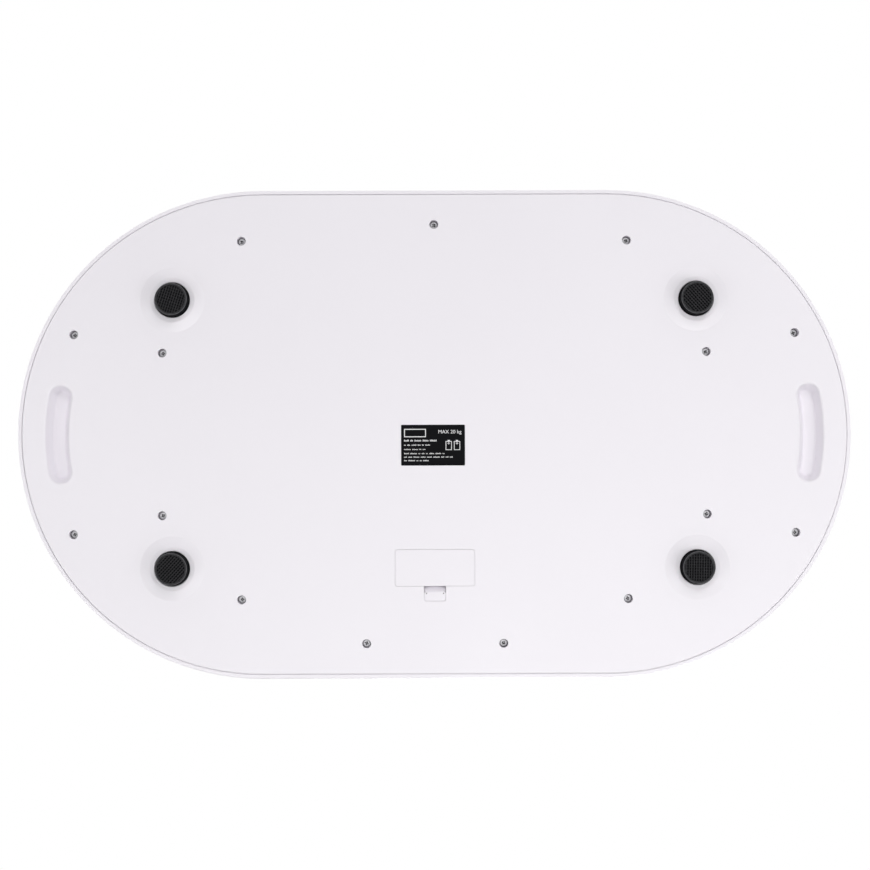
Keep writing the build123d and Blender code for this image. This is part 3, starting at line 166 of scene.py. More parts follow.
def math_node(tree, operation, first, second=None):
    """A Math node with sockets or numbers as its inputs."""
    feeds = {0: first} if second is None else {0: first, 1: second}
    return add_node(tree, "ShaderNodeMath", feeds, operation=operation)


def floor_material():
    """White floor seen from above only; every other ray passes through it."""
    material, tree, output = new_material("studio_floor")
    contact = add_node(tree, "ShaderNodeAmbientOcclusion", {
        "Color": FLOOR_COLOR, "Distance": CONTACT_REACH}, output="Color", samples=CONTACT_SAMPLES)
    solid = add_node(tree, "ShaderNodeBsdfDiffuse", {"Color": contact})
    white = add_node(tree, "ShaderNodeEmission", {})
    spot = add_node(tree, "ShaderNodeTexCoord", {}, output="Object")
    length = add_node(tree, "ShaderNodeVectorMath", {0: spot}, output="Value", operation="LENGTH")
    near, far = FLOOR_FADE
    fade = add_node(tree, "ShaderNodeMapRange", {
        "Value": length, "From Min": near, "From Max": far, "To Min": FLOOR_GLOW},
        interpolation_type="SMOOTHSTEP")
    seen = add_node(tree, "ShaderNodeMixShader", {0: fade, 1: solid, 2: white})
    clear = add_node(tree, "ShaderNodeBsdfTransparent", {})
    camera_ray = add_node(tree, "ShaderNodeLightPath", {}, output="Is Camera Ray")
    back = add_node(tree, "ShaderNodeNewGeometry", {}, output="Backfacing")
    shown = math_node(tree, "MULTIPLY", camera_ray, math_node(tree, "SUBTRACT", 1.0, back))
    mix = add_node(tree, "ShaderNodeMixShader", {0: shown, 1: clear, 2: seen})
    join(tree, mix, output.inputs["Surface"])
    return material


def floor():
    """A wide flat floor at the height of the foot ends, facing up."""
    half = FLOOR_HALF
    mesh = bpy.data.meshes.new("studio_floor")
    corners = [(-half, -half, 0), (half, -half, 0), (half, half, 0), (-half, half, 0)]
    mesh.from_pydata(corners, [], [(0, 1, 2, 3)])
    mesh.materials.append(floor_material())
    plane = bpy.data.objects.new("studio_floor", mesh)
    bpy.context.collection.objects.link(plane)


def room():
    """White for what the camera and reflections see, a little less for the light."""
    world = bpy.data.worlds.new("white_room")
    world.use_nodes = True
    tree = world.node_tree
    tree.nodes.clear()
    output = tree.nodes.new("ShaderNodeOutputWorld")
    light = tree.nodes.new("ShaderNodeBackground")
    path = tree.nodes.new("ShaderNodeLightPath")
    seen = math_node(tree, "ADD", path.outputs["Is Camera Ray"], path.outputs["Is Transmission Ray"])
    seen = math_node(tree, "ADD", seen, path.outputs["Is Glossy Ray"])
    extra = math_node(tree, "MULTIPLY", math_node(tree, "MINIMUM", seen, 1.0), 1.0 - ROOM_LIGHT)
    join(tree, math_node(tree, "ADD", extra, ROOM_LIGHT), light.inputs["Strength"])
    light.inputs["Color"].default_value = (1.0, 1.0, 1.0, 1.0)
    join(tree, light.outputs[0], output.inputs["Surface"])
    bpy.context.scene.world = world


def lamp(name, power, size, place):
    """A square area lamp that looks at the scale."""
    data = bpy.data.lights.new(name, "AREA")
    data.energy, data.size = power, size
    light = bpy.data.objects.new(name, data)
    light.location = place
    light.rotation_mode = "QUATERNION"
    light.rotation_quaternion = (-Vector(place)).to_track_quat("-Z", "Y")
    bpy.context.collection.objects.link(light)
    return light


floor()
room()
lamp("under_key", **UNDER_KEY)
lamp("under_left", **UNDER_LEFT)
lamp("under_right", **UNDER_RIGHT)
card = lamp("under_card", **UNDER_CARD)
card.visible_diffuse = False        # only mirrored in the plastic, like a white card
lamp("over_lamp", **OVER_LAMP)
print("studio ready")

# %% [markdown]
# ## Shared surface effects
#
# A moulded part is never one even colour. Four effects are made once each, as a node
# group with its own inputs. Two come back on every part: a mottle that varies the colour
# and the gloss slowly, and a fine grain that gives the surface its bump. The other two
# are for feet and screws. One is a colour laid between two heights: on the tread it is dust
# with painted shade, the rib tops paler than the pits, and deep in a screw head it is
# painted shade. The other is a painted highlight on bevelled edges.

# %% Node groups
def new_group(name, inputs, outputs):
    """A shader node group with named inputs (name, type, value) and outputs (name, type)."""
    group = bpy.data.node_groups.new(name, "ShaderNodeTree")
    for label, kind, value in inputs:
        socket = group.interface.new_socket(name=label, in_out="INPUT", socket_type=kind)
        if value is not None:
            socket.default_value = value
    for label, kind in outputs:
        group.interface.new_socket(name=label, in_out="OUTPUT", socket_type=kind)
    return group, group.nodes.new("NodeGroupInput"), group.nodes.new("NodeGroupOutput")


FLOAT, COLOR, VECTOR = "NodeSocketFloat", "NodeSocketColor", "NodeSocketVector"
MIX_INPUTS, MIX_OUTPUT = (0, 6, 7), 2    # factor and the two colours of a Mix node; its colour


def noise(tree, vector, scale, detail, roughness):
    """A noise texture's factor on a vector."""
    return add_node(tree, "ShaderNodeTexNoise", {
        "Vector": vector, "Scale": scale, "Detail": detail, "Roughness": roughness}, output="Fac")


def blend_colors(tree, share, first, second):
    """Mix two colours, each a socket or a value, by a share."""
    feeds = dict(zip(MIX_INPUTS, (share, first, second)))
    return add_node(tree, "ShaderNodeMix", feeds, output=MIX_OUTPUT, data_type="RGBA")


def make_mottle():
    """Slow change of colour and gloss over a surface."""
    group, inside, out = new_group(
        "mottle",
        [("Vector", VECTOR, None), ("Scale", FLOAT, 12.0), ("Light Color", COLOR, (1, 1, 1, 1)),
         ("Dark Color", COLOR, (0.9, 0.9, 0.9, 1)), ("Smooth", FLOAT, 0.3), ("Rough", FLOAT, 0.4)],
        [("Color", COLOR), ("Roughness", FLOAT)],
    )
    values = inside.outputs
    patches = noise(group, values["Vector"], values["Scale"], 4.0, 0.55)
    share = add_node(group, "ShaderNodeMapRange", {
        "Value": patches, "From Min": 0.2, "From Max": 0.8}, interpolation_type="SMOOTHSTEP")
    gloss = add_node(group, "ShaderNodeMapRange", {
        "Value": share, "To Min": values["Smooth"], "To Max": values["Rough"]})
    color = blend_colors(group, share, values["Dark Color"], values["Light Color"])
    join(group, color, out.inputs["Color"])
    join(group, gloss, out.inputs["Roughness"])
    return group


def make_grain():
    """Fine grain over a slower ripple, as heights for a Bump node."""
    group, inside, out = new_group(
        "grain",
        [("Vector", VECTOR, None), ("Grain Scale", FLOAT, 2500.0), ("Ripple Scale", FLOAT, 180.0),
         ("Ripple", FLOAT, 0.5)],
        [("Height", FLOAT)],
    )
    values = inside.outputs
    fine = noise(group, values["Vector"], values["Grain Scale"], 2.0, 0.6)
    slow = noise(group, values["Vector"], values["Ripple Scale"], 1.0, 0.4)
    weighted = math_node(group, "MULTIPLY", slow, values["Ripple"])
    join(group, math_node(group, "ADD", fine, weighted), out.inputs["Height"])
    return group


def make_band_dust_and_shade():
    """Dust and painted shade that grow thick between two heights, broken up by noise."""
    group, inside, out = new_group(
        "band_dust",
        [("Vector", VECTOR, None), ("Low", FLOAT, 0.0), ("High", FLOAT, 0.001),
         ("Scale", FLOAT, 400.0), ("Amount", FLOAT, 0.5)],
        [("Mask", FLOAT)],
    )
    values = inside.outputs
    height = add_node(group, "ShaderNodeSeparateXYZ", {0: values["Vector"]}, output="Z")
    band = add_node(group, "ShaderNodeMapRange", {
        "Value": height, "From Min": values["Low"], "From Max": values["High"]})
    specks = noise(group, values["Vector"], values["Scale"], 3.0, 0.6)
    broken_up = math_node(group, "MULTIPLY", band, specks)
    join(group, math_node(group, "MULTIPLY", broken_up, values["Amount"]), out.inputs["Mask"])
    return group


def make_edge_highlight():
    """Painted highlight on bevelled edges, found by the slope of the face, broken up by noise."""
    group, inside, out = new_group(
        "edge_wear",
        [("Vector", VECTOR, None), ("Slope", FLOAT, 0.7), ("Spread", FLOAT, 0.2),
         ("Scale", FLOAT, 300.0), ("Amount", FLOAT, 0.5)],
        [("Mask", FLOAT)],
    )
    values = inside.outputs
    normal = add_node(group, "ShaderNodeNewGeometry", {}, output="True Normal")
    slope = add_node(group, "ShaderNodeSeparateXYZ", {0: normal}, output="Z")
    upright = math_node(group, "ABSOLUTE", slope)
    away = math_node(group, "ABSOLUTE", math_node(group, "SUBTRACT", upright, values["Slope"]))
    share = math_node(group, "DIVIDE", away, values["Spread"])
    near = math_node(group, "MAXIMUM", math_node(group, "SUBTRACT", 1.0, share), 0.0)
    specks = noise(group, values["Vector"], values["Scale"], 3.0, 0.6)
    broken_up = math_node(group, "MULTIPLY", near, specks)
    join(group, math_node(group, "MULTIPLY", broken_up, values["Amount"]), out.inputs["Mask"])
    return group


MOTTLE, GRAIN, BAND_DUST_AND_SHADE, EDGE_HIGHLIGHT = make_mottle(), make_grain(), make_band_dust_and_shade(), make_edge_highlight()
print("node groups:", MOTTLE.name, GRAIN.name, BAND_DUST_AND_SHADE.name, EDGE_HIGHLIGHT.name)


# %% [markdown]
# ## The finishes
#
# One function lays down what all the moulded parts share: the mottle for colour and
# gloss, the grain for bump, and a Principled shader. The values of each finish are what
# a maker would say: how light, how glossy, how fine the grain is. Constants that are the
# same all over, such as the index of refraction, sit on the shader itself.

# %% A function for moulded, cast and rolled surfaces
def use_group(tree, group, vector, **values):
    """Place a node group, feed it the vector and set its named inputs."""
    node = tree.nodes.new("ShaderNodeGroup")
    node.node_tree = group
    join(tree, vector, node.inputs["Vector"])
    for label, value in values.items():
        node.inputs[label.replace("_", " ")].default_value = value
    return node


def surface(name, light, dark, smooth, rough, patch=12.0, grain=2500.0, ripple_scale=180.0,
            ripple=0.5, bump=0.02, depth=mm(0.05), metallic=0.0, ior=1.46, specular=0.5, coat=0.0,
            coat_roughness=0.1):
    """A finish with mottle, grain and bump on Object coordinates."""
    material, tree, output = new_material(name)
    vector = add_node(tree, "ShaderNodeTexCoord", {}, output="Object")
    mottle = use_group(tree, MOTTLE, vector, Scale=patch, Light_Color=(*light, 1),
                       Dark_Color=(*dark, 1), Smooth=smooth, Rough=rough)
    heights = use_group(tree, GRAIN, vector, Grain_Scale=grain, Ripple_Scale=ripple_scale,
                        Ripple=ripple)
    relief = add_node(tree, "ShaderNodeBump", {
        "Strength": bump, "Distance": depth, "Height": heights.outputs["Height"]}, output="Normal")
    shader = tree.nodes.new("ShaderNodeBsdfPrincipled")
    for label, value in (("Metallic", metallic), ("IOR", ior), ("Specular IOR Level", specular),
                         ("Coat Weight", coat), ("Coat Roughness", coat_roughness)):
        shader.inputs[label].default_value = value
    join(tree, mottle.outputs["Color"], shader.inputs["Base Color"])
    join(tree, mottle.outputs["Roughness"], shader.inputs["Roughness"])
    join(tree, relief, shader.inputs["Normal"])
    join(tree, shader.outputs[0], output.inputs["Surface"])
    return material, tree, shader, vector, mottle


finishes = {}


def add_finish(name, *look, **detail):
    """Keep a finish that needs no more than the plain surface."""
    finishes[name] = surface(name, *look, **detail)[0]


def add_dust_and_shade(tree, shader, vector, mottle, dust_and_shade_color, **band):
    """Mix dust and painted shade over the base colour in a band of heights and return the new colour.
    """
    dust_and_shade = use_group(tree, BAND_DUST_AND_SHADE, vector, **band)
    color = blend_colors(tree, dust_and_shade.outputs["Mask"], mottle.outputs["Color"], (*dust_and_shade_color, 1))
    join(tree, color, shader.inputs["Base Color"])
    return color


def add_edge_highlight(tree, shader, vector, color, highlight_color, **highlight_inputs):
    """Mix a painted highlight over the base colour on bevelled edges."""
    highlight = use_group(tree, EDGE_HIGHLIGHT, vector, **highlight_inputs)
    mixed = blend_colors(tree, highlight.outputs["Mask"], color, (*highlight_color, 1))
    join(tree, mixed, shader.inputs["Base Color"])


print("surface functions ready")

# %% White plastic of the housing
# A smooth white ABS with a breath of lilac, as it comes out of a polished mould.
SHELL_LIGHT, SHELL_DARK = (0.890, 0.862, 0.908), (0.876, 0.848, 0.894)
add_finish(
    "shell_plastic", SHELL_LIGHT, SHELL_DARK, 0.38, 0.46, patch=7.0, grain=900.0, ripple_scale=60.0,
    ripple=0.8, bump=0.03, depth=mm(0.10), ior=1.5)
print("housing:", list(finishes))

# %% The other moulded parts
add_finish(
    "key_plastic", (0.66, 0.67, 0.71), (0.62, 0.63, 0.67), 0.35, 0.45, patch=90.0, bump=0.05)
add_finish(
    "frame_plastic", (0.74, 0.74, 0.75), (0.68, 0.68, 0.70), 0.45, 0.6, patch=60.0, bump=0.06)
add_finish(
    "black_plastic", (0.028, 0.028, 0.030), (0.018, 0.018, 0.020), 0.4, 0.55, patch=120.0,
    bump=0.08)
add_finish(
    "light_guide", (0.80, 0.83, 0.80), (0.74, 0.78, 0.75), 0.5, 0.65, patch=60.0, bump=0.05)
print("plastics:", list(finishes))

# %% Rubber of the feet
# Moulded rubber: black and matt. Dust makes the rib tops paler than the black pits, which
# also paints the shade in the pits, and the bevel of a foot gets a painted highlight. The
# dust grows towards the foot end, at height zero.
foot_rubber, tree, shader, vector, mottle = surface(
    "foot_rubber", (0.007, 0.007, 0.008), (0.003, 0.003, 0.004), 0.5, 0.7, patch=160.0, grain=3500.0,
    ripple_scale=900.0, bump=0.2, depth=mm(0.10), ior=1.2, specular=0.04)
# Paler rib tops and darker pits: dust, and painted shade in the pits.
dusted_and_shaded = add_dust_and_shade(tree, shader, vector, mottle, (0.20, 0.20, 0.21), Low=mm(0.45), High=mm(0.0),
                 Scale=700.0, Amount=0.42)
# A paler ring on the bevel of each foot: a painted highlight.
add_edge_highlight(tree, shader, vector, dusted_and_shaded, (0.22, 0.22, 0.23), Slope=0.71, Spread=0.2,
              Scale=300.0, Amount=1.2)
finishes["foot_rubber"] = foot_rubber
print("rubber:", foot_rubber.name)

# %% Metals
# The plating of the screws is dull, and deep in the cross recess it is painted dark: painted shade.
SHADE_FROM, SHADE_FULL = mm(16.4), mm(16.8)    # heights where the painted shade starts and is full
screw_steel, tree, shader, vector, mottle = surface(
    "screw_steel", (0.54, 0.54, 0.55), (0.46, 0.46, 0.47), 0.56, 0.66, patch=500.0, bump=0.1,
    metallic=1.0)
# Dark grey deep in the cross recess: painted shade.
add_dust_and_shade(tree, shader, vector, mottle, (0.03, 0.03, 0.03), Low=SHADE_FROM, High=SHADE_FULL,
         Scale=700.0, Amount=1.7)
finishes["screw_steel"] = screw_steel
add_finish(
    "cell_steel", (0.62, 0.62, 0.63), (0.54, 0.54, 0.56), 0.25, 0.38, patch=90.0, bump=0.06,
    metallic=1.0)
add_finish(
    "nickel_plate", (0.78, 0.76, 0.72), (0.70, 0.68, 0.64), 0.15, 0.28, patch=200.0, bump=0.04,
    metallic=1.0)
add_finish(
    "battery_can", (0.16, 0.17, 0.19), (0.12, 0.13, 0.15), 0.25, 0.35, patch=80.0, bump=0.03,
    metallic=0.5)
print("metals:", list(finishes)[-4:])

# %% Board, wires, label, glass and inks
add_finish(
    "circuit_board", (0.030, 0.20, 0.085), (0.022, 0.16, 0.068), 0.25, 0.4, patch=150.0, bump=0.08,
    coat=0.3)
add_finish(
    "cable_grey", (0.36, 0.36, 0.38), (0.30, 0.30, 0.32), 0.4, 0.5, patch=120.0, bump=0.05)
add_finish(
    "lead_red", (0.42, 0.020, 0.018), (0.34, 0.014, 0.012), 0.35, 0.45, patch=120.0, bump=0.05)
add_finish(
    "lead_black", (0.026, 0.026, 0.028), (0.018, 0.018, 0.020), 0.35, 0.45, patch=120.0, bump=0.05)
add_finish(
    "label_foil", (0.004, 0.004, 0.005), (0.003, 0.003, 0.004), 0.45, 0.55, patch=70.0,
    grain=1500.0, bump=0.03, specular=0.04)
add_finish(
    "label_white", (0.86, 0.86, 0.87), (0.80, 0.80, 0.81), 0.4, 0.5, patch=200.0, bump=0.03)
add_finish(
    "legend_ink", (0.085, 0.09, 0.10), (0.06, 0.065, 0.07), 0.5, 0.6, patch=900.0, bump=0.05)
add_finish(
    "lcd_glass", (0.40, 0.46, 0.40), (0.36, 0.42, 0.37), 0.12, 0.2, patch=40.0, bump=0.01, coat=0.4)
add_finish(
    "lcd_ink", (0.020, 0.024, 0.022), (0.014, 0.017, 0.016), 0.3, 0.4, patch=400.0, bump=0.02)
print("finishes:", len(finishes))

# %% [markdown]
# ## The display window
#
# The lens is one piece of clear plastic with a black border printed behind it. A mask in
# Object coordinates leaves the viewing area see-through: where it is 1 the lens is black
# and closed, where it is 0 it is only a faint smoke tint over the glass below.

# %% Window finish
VIEW_X, VIEW_Y, VIEW_CORNER = mm(54.0), mm(15.0), mm(1.5)
VIEW_SHIFT = mm(1.25)               # the upper glass lies this far behind the middle
SMOKE = 0.16                        # how much the tint of the viewing area hides


def window_finish():
    """Black border round a smoke-tinted viewing area."""
    lo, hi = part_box("display_window")
    centre = (Vector(lo) + Vector(hi)) / 2
    material, tree, shader, vector, _ = surface(
        "window_plastic", (0.014, 0.014, 0.016), (0.010, 0.010, 0.012), 0.06, 0.10, patch=30.0,
        ripple_scale=40.0, ripple=1.0, bump=0.01, ior=1.49, coat=0.6, coat_roughness=0.05)
    split = tree.nodes.new("ShaderNodeSeparateXYZ")
    join(tree, vector, split.inputs[0])
    beyond = []                      # how far a point lies past the straight part of each side
    for axis, middle, size in (("X", centre.x, VIEW_X), ("Y", centre.y + VIEW_SHIFT, VIEW_Y)):
        away = math_node(tree, "ABSOLUTE", math_node(tree, "SUBTRACT", split.outputs[axis], middle))
        excess = math_node(tree, "SUBTRACT", away, size / 2 - VIEW_CORNER)
        beyond.append(math_node(tree, "MAXIMUM", excess, 0.0))
    squares = [math_node(tree, "MULTIPLY", b, b) for b in beyond]
    distance = math_node(tree, "SQRT", math_node(tree, "ADD", *squares))
    border = math_node(tree, "GREATER_THAN", distance, VIEW_CORNER)
    closed = math_node(tree, "MULTIPLY", border, 1.0 - SMOKE)
    join(tree, math_node(tree, "ADD", closed, SMOKE), shader.inputs["Alpha"])
    return material


finishes["window_plastic"] = window_finish()
print("window finish made")


# %% [markdown]
# ## Dressing the CAD parts
#
# Each CAD node keeps its shape and only changes its material, by the slot that the
# record gives it. The shading normals that come with the file already follow the curved
# faces, so the meshes are left alone.

# %% Give every CAD node its finish
for node, obj in frame["nodes"].items():
    for slot in obj.material_slots:
        slot.material = finishes[RECORD_SLOTS[node]]
print("dressed", len(frame["nodes"]), "nodes")

# %% [markdown]
# ## Making and placing pieces
#
# The fine parts are built in mesh code. A few helpers keep that short: one links a mesh
# as a piece that rides on a body of the frame, others turn a bmesh into a mesh, lay flat
# plates and bars, set raised letters and join meshes into one.

# %% Helpers for pieces
def piece(name, mesh, finish, body="housing"):
    """Link a mesh as a piece of the scale, with its finish and the body it rides on."""
    mesh.materials.clear()
    mesh.materials.append(finishes[finish])
    obj = bpy.data.objects.new(name, mesh)
    bpy.context.collection.objects.link(obj)
    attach(obj, body)
    return obj


def mesh_from(bm, name):
    """A mesh from a bmesh, with its normals outward."""
    bmesh.ops.recalc_face_normals(bm, faces=bm.faces)
    mesh = bpy.data.meshes.new(name)
    bm.to_mesh(mesh)
    bm.free()
    return mesh


def prism(bm, low, high):
    """Add a closed form between two rings of points with as many corners each."""
    low, high = ([bm.verts.new(point) for point in ring] for ring in (low, high))
    bm.faces.new(low[::-1])
    bm.faces.new(high)
    for i in range(len(low)):
        j = (i + 1) % len(low)
        bm.faces.new((low[i], low[j], high[j], high[i]))


def plate(bm, outline, z0, z1):
    """Add a flat plate on a convex outline of (x, y) points between two heights."""
    prism(bm, [(x, y, z0) for x, y in outline], [(x, y, z1) for x, y in outline])


def bar(bm, x0, x1, y0, y1, z0, z1):
    """Add a rectangular plate."""
    plate(bm, [(x0, y0), (x1, y0), (x1, y1), (x0, y1)], z0, z1)


LETTER_STEPS = 4                    # straight pieces to one curve of a letter


def lettering(text, size, spot, thickness, down=False):
    """A mesh of raised letters centred on a point, read from above or from below."""
    curve = bpy.data.curves.new("lettering", "FONT")
    curve.body, curve.size, curve.extrude = text, size, thickness / 2
    curve.align_x, curve.align_y = "CENTER", "CENTER"
    curve.resolution_u = LETTER_STEPS
    carrier = bpy.data.objects.new("lettering", curve)
    bpy.context.collection.objects.link(carrier)
    depsgraph = bpy.context.evaluated_depsgraph_get()
    mesh = bpy.data.meshes.new_from_object(carrier.evaluated_get(depsgraph), depsgraph=depsgraph)
    bpy.data.objects.remove(carrier)
    turn = Matrix.Rotation(math.pi, 4, "Y") if down else Matrix.Identity(4)
    mesh.transform(Matrix.Translation(spot) @ turn)
    return mesh


def gather(meshes, name):
    """Join several meshes into one."""
    bm = bmesh.new()
    for mesh in meshes:
        bm.from_mesh(mesh)
    joined = bpy.data.meshes.new(name)
    bm.to_mesh(joined)
    bm.free()
    return joined


print("helpers ready")

# %% [markdown]
# ## Geometry Nodes
#
# The tread of a foot and the screws are one small form that comes back many times, so
# both are made by node trees. A tree is fed through named inputs, its result is turned
# into a plain mesh, and the modifier goes again, so the model holds ordinary pieces.

# %% Helpers for node trees
def new_tree(name, inputs):
    """A Geometry Nodes tree with a geometry in and out and named inputs."""
    tree = bpy.data.node_groups.new(name, "GeometryNodeTree")
    tree.interface.new_socket(name="Geometry", in_out="INPUT", socket_type="NodeSocketGeometry")
    for label, kind, value in inputs:
        socket = tree.interface.new_socket(name=label, in_out="INPUT", socket_type=kind)
        if value is not None:
            socket.default_value = value
    tree.interface.new_socket(name="Geometry", in_out="OUTPUT", socket_type="NodeSocketGeometry")
    return tree, tree.nodes.new("NodeGroupInput"), tree.nodes.new("NodeGroupOutput")


def grow(name, tree, values, points=()):
    """Run a tree on some points and keep the result as a plain mesh."""
    start = bpy.data.meshes.new(name)
    start.from_pydata(points, [], [])
    carrier = bpy.data.objects.new(name, start)
    bpy.context.collection.objects.link(carrier)
    modifier = carrier.modifiers.new(name, "NODES")
    modifier.node_group = tree
    items = tree.interface.items_tree
    sockets = {item.name: item.identifier for item in items if item.in_out == "INPUT"}
    for label, value in values.items():
        modifier[sockets[label]] = value
    depsgraph = bpy.context.evaluated_depsgraph_get()
    mesh = bpy.data.meshes.new_from_object(carrier.evaluated_get(depsgraph), depsgraph=depsgraph)
    carrier.modifiers.remove(modifier)
    bpy.data.objects.remove(carrier)
    return mesh


print("node tree helpers ready")

# %% [markdown]
# ## Tread of the feet
#
# Each foot ends in a ring with a sunk field of crossed ribs, which grips a smooth table
# like a waffle. A row of tapered bars is laid along the field, each as long as the chord
# of the circle at its place, and a second, slightly lower row crosses it. The pads are
# pushed on by hand, so each foot has its tread turned by another angle.

# %% Tread tree
TREAD_RIBS = 11
TREAD_PITCH, CROSS_PITCH = mm(1.62), mm(1.78)
TREAD_RIB_WIDTH = mm(0.85)
TREAD_FIELD_R = mm(8.75)
TREAD_FLOOR = mm(0.90)
TREAD_TOP, CROSS_TOP = mm(0.04), mm(0.22)
RIB_TAPER = 0.62                    # width of a rib at its end, as a share of its root
RIB_MIDDLE = mm(0.01)               # half the band that tells its end from its root


def rib_row(tree, inside, pitch, top, turn):
    """One row of tapered ribs that fill a circle, turned about the vertical."""
    values = inside.outputs
    height = math_node(tree, "SUBTRACT", values["Floor"], top)
    size = add_node(tree, "ShaderNodeCombineXYZ", {
        "X": values["Rib Width"], "Y": values["Rib Width"], "Z": height})
    block = add_node(tree, "GeometryNodeMeshCube", {"Size": size})
    spot = add_node(tree, "GeometryNodeInputPosition", {})
    split = tree.nodes.new("ShaderNodeSeparateXYZ")
    join(tree, spot, split.inputs[0])
    share = add_node(tree, "ShaderNodeMapRange", {
        "Value": split.outputs["Z"], "From Min": -RIB_MIDDLE, "From Max": RIB_MIDDLE,
        "To Min": RIB_TAPER, "To Max": 1.0})
    slim = add_node(tree, "ShaderNodeCombineXYZ", {
        "X": math_node(tree, "MULTIPLY", split.outputs["X"], share),
        "Y": split.outputs["Y"], "Z": split.outputs["Z"]})
    rib = add_node(tree, "GeometryNodeSetPosition", {"Geometry": block, "Position": slim})
    reach = math_node(tree, "MULTIPLY", pitch, -(TREAD_RIBS - 1) / 2)
    line = add_node(tree, "GeometryNodeMeshLine", {
        "Count": values["Ribs"],
        "Start Location": add_node(tree, "ShaderNodeCombineXYZ", {"X": reach}),
        "Offset": add_node(tree, "ShaderNodeCombineXYZ", {"X": pitch})})
    radius = values["Field Radius"]
    rest = math_node(tree, "SUBTRACT", math_node(tree, "MULTIPLY", radius, radius),
                     math_node(tree, "MULTIPLY", split.outputs["X"], split.outputs["X"]))
    half_chord = math_node(tree, "SQRT", math_node(tree, "MAXIMUM", rest, 0.0))
    chord = math_node(tree, "MULTIPLY", half_chord, 2.0)
    stretch = add_node(tree, "ShaderNodeCombineXYZ", {
        "X": 1.0, "Y": math_node(tree, "DIVIDE", chord, values["Rib Width"]), "Z": 1.0})
    row = add_node(tree, "GeometryNodeInstanceOnPoints", {
        "Points": line, "Instance": rib, "Scale": stretch})
    middle = math_node(tree, "MULTIPLY", math_node(tree, "ADD", values["Floor"], top), 0.5)
    return add_node(tree, "GeometryNodeTransform", {
        "Geometry": row, "Translation": add_node(tree, "ShaderNodeCombineXYZ", {"Z": middle}),
        "Rotation": add_node(tree, "ShaderNodeCombineXYZ", {"Z": turn})})


def tread_tree():
    """Two crossed rows of ribs, turned as a whole and moved to the foot."""
    tree, inside, out = new_tree("foot_tread", [
        ("Ribs", "NodeSocketInt", TREAD_RIBS), ("Pitch", FLOAT, TREAD_PITCH),
        ("Cross Pitch", FLOAT, CROSS_PITCH), ("Rib Width", FLOAT, TREAD_RIB_WIDTH),
        ("Field Radius", FLOAT, TREAD_FIELD_R), ("Floor", FLOAT, TREAD_FLOOR),
        ("Top", FLOAT, TREAD_TOP), ("Cross Top", FLOAT, CROSS_TOP), ("Turn", FLOAT, 0.0),
        ("Place", VECTOR, None), ("Rubber", "NodeSocketMaterial", None)])
    values = inside.outputs
    long_ribs = rib_row(tree, inside, values["Pitch"], values["Top"], 0.0)
    cross_ribs = rib_row(tree, inside, values["Cross Pitch"], values["Cross Top"], math.pi / 2)
    both = tree.nodes.new("GeometryNodeJoinGeometry")
    join(tree, long_ribs, both.inputs[0])
    join(tree, cross_ribs, both.inputs[0])
    moved = add_node(tree, "GeometryNodeTransform", {
        "Geometry": both.outputs[0], "Translation": values["Place"],
        "Rotation": add_node(tree, "ShaderNodeCombineXYZ", {"Z": values["Turn"]})})
    real = add_node(tree, "GeometryNodeRealizeInstances", {"Geometry": moved})
    done = add_node(tree, "GeometryNodeSetMaterial", {"Geometry": real, "Material": values["Rubber"]})
    join(tree, done, out.inputs[0])
    return tree


TREAD = tread_tree()
print("tread tree:", len(TREAD.nodes), "nodes")

# %% One tread on each foot
TREAD_TURNS = {"rear_right": 18, "rear_left": -42, "front_right": 43, "front_left": 1}    # degrees

for foot, degrees in TREAD_TURNS.items():
    low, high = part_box(f"foot_pad_{foot}")
    centre = ((low[0] + high[0]) / 2, (low[1] + high[1]) / 2, 0.0)
    tread = grow(f"foot_tread_{foot}", TREAD, {
        "Turn": math.radians(degrees), "Place": centre, "Rubber": finishes["foot_rubber"]})
    piece(f"foot_tread_{foot}", tread, "foot_rubber")
    print(foot, "tread:", len(tread.polygons), "faces")

# %% [markdown]
# ## Housing screws
#
# The covers are held by fifteen small self-tapping screws with a domed head and a cross
# recess, sunk in wells. One screw is turned on a lathe in code: a profile spun round its
# axis. The recess is cut with a Boolean and gets the blunt point of the punch, and a node
# tree puts a copy in each well, each turned at random as screws always end up.

# %% One screw
SCREW_HEAD_R, SCREW_HEAD_H = mm(2.55), mm(1.85)
SCREW_SHANK_R, SCREW_LENGTH = mm(1.40), mm(9.4)
SCREW_EDGE = mm(0.65)               # radius of the rounded edge of the head
SCREW_POINT = mm(1.5)               # length of the pointed end
CROWN_SHARE = 0.4                   # flat middle of the head, as a share of its radius
RECESS_LENGTH, RECESS_WIDTH, RECESS_DEPTH = mm(2.5), mm(0.90), mm(1.3)
RECESS_START = mm(0.5)              # the cutter starts this far below the head
RECESS_MOUTH, RECESS_END = 1.15, 0.55    # length of the cross there and at its depth, as shares
RECESS_SLIM = 0.3                   # how much of that taper the width of an arm follows
RECESS_POINT_R, RECESS_POINT_TOP = mm(0.42), mm(0.08)
POINT_SHARE, POINT_ROOT = 0.6, mm(0.1)
LATHE_STEPS, DOME_STEPS, POINT_STEPS = 28, 5, 12


def lathe(profile, steps):
    """Spin a profile of (radius, height) points round the Z axis into a closed form."""
    bm = bmesh.new()
    rings = []
    for r, z in profile:
        if r == 0:
            rings.append([bm.verts.new((0, 0, z))])
            continue
        angles = [2 * math.pi * i / steps for i in range(steps)]
        rings.append([bm.verts.new((r * math.cos(a), r * math.sin(a), z)) for a in angles])
    for lower, upper in zip(rings, rings[1:]):
        for i in range(steps):
            j = (i + 1) % steps
            corners = [lower[i % len(lower)], lower[j % len(lower)],
                       upper[j % len(upper)], upper[i % len(upper)]]
            bm.faces.new(list(dict.fromkeys(corners)))    # a triangle where a ring is one point
    return bm


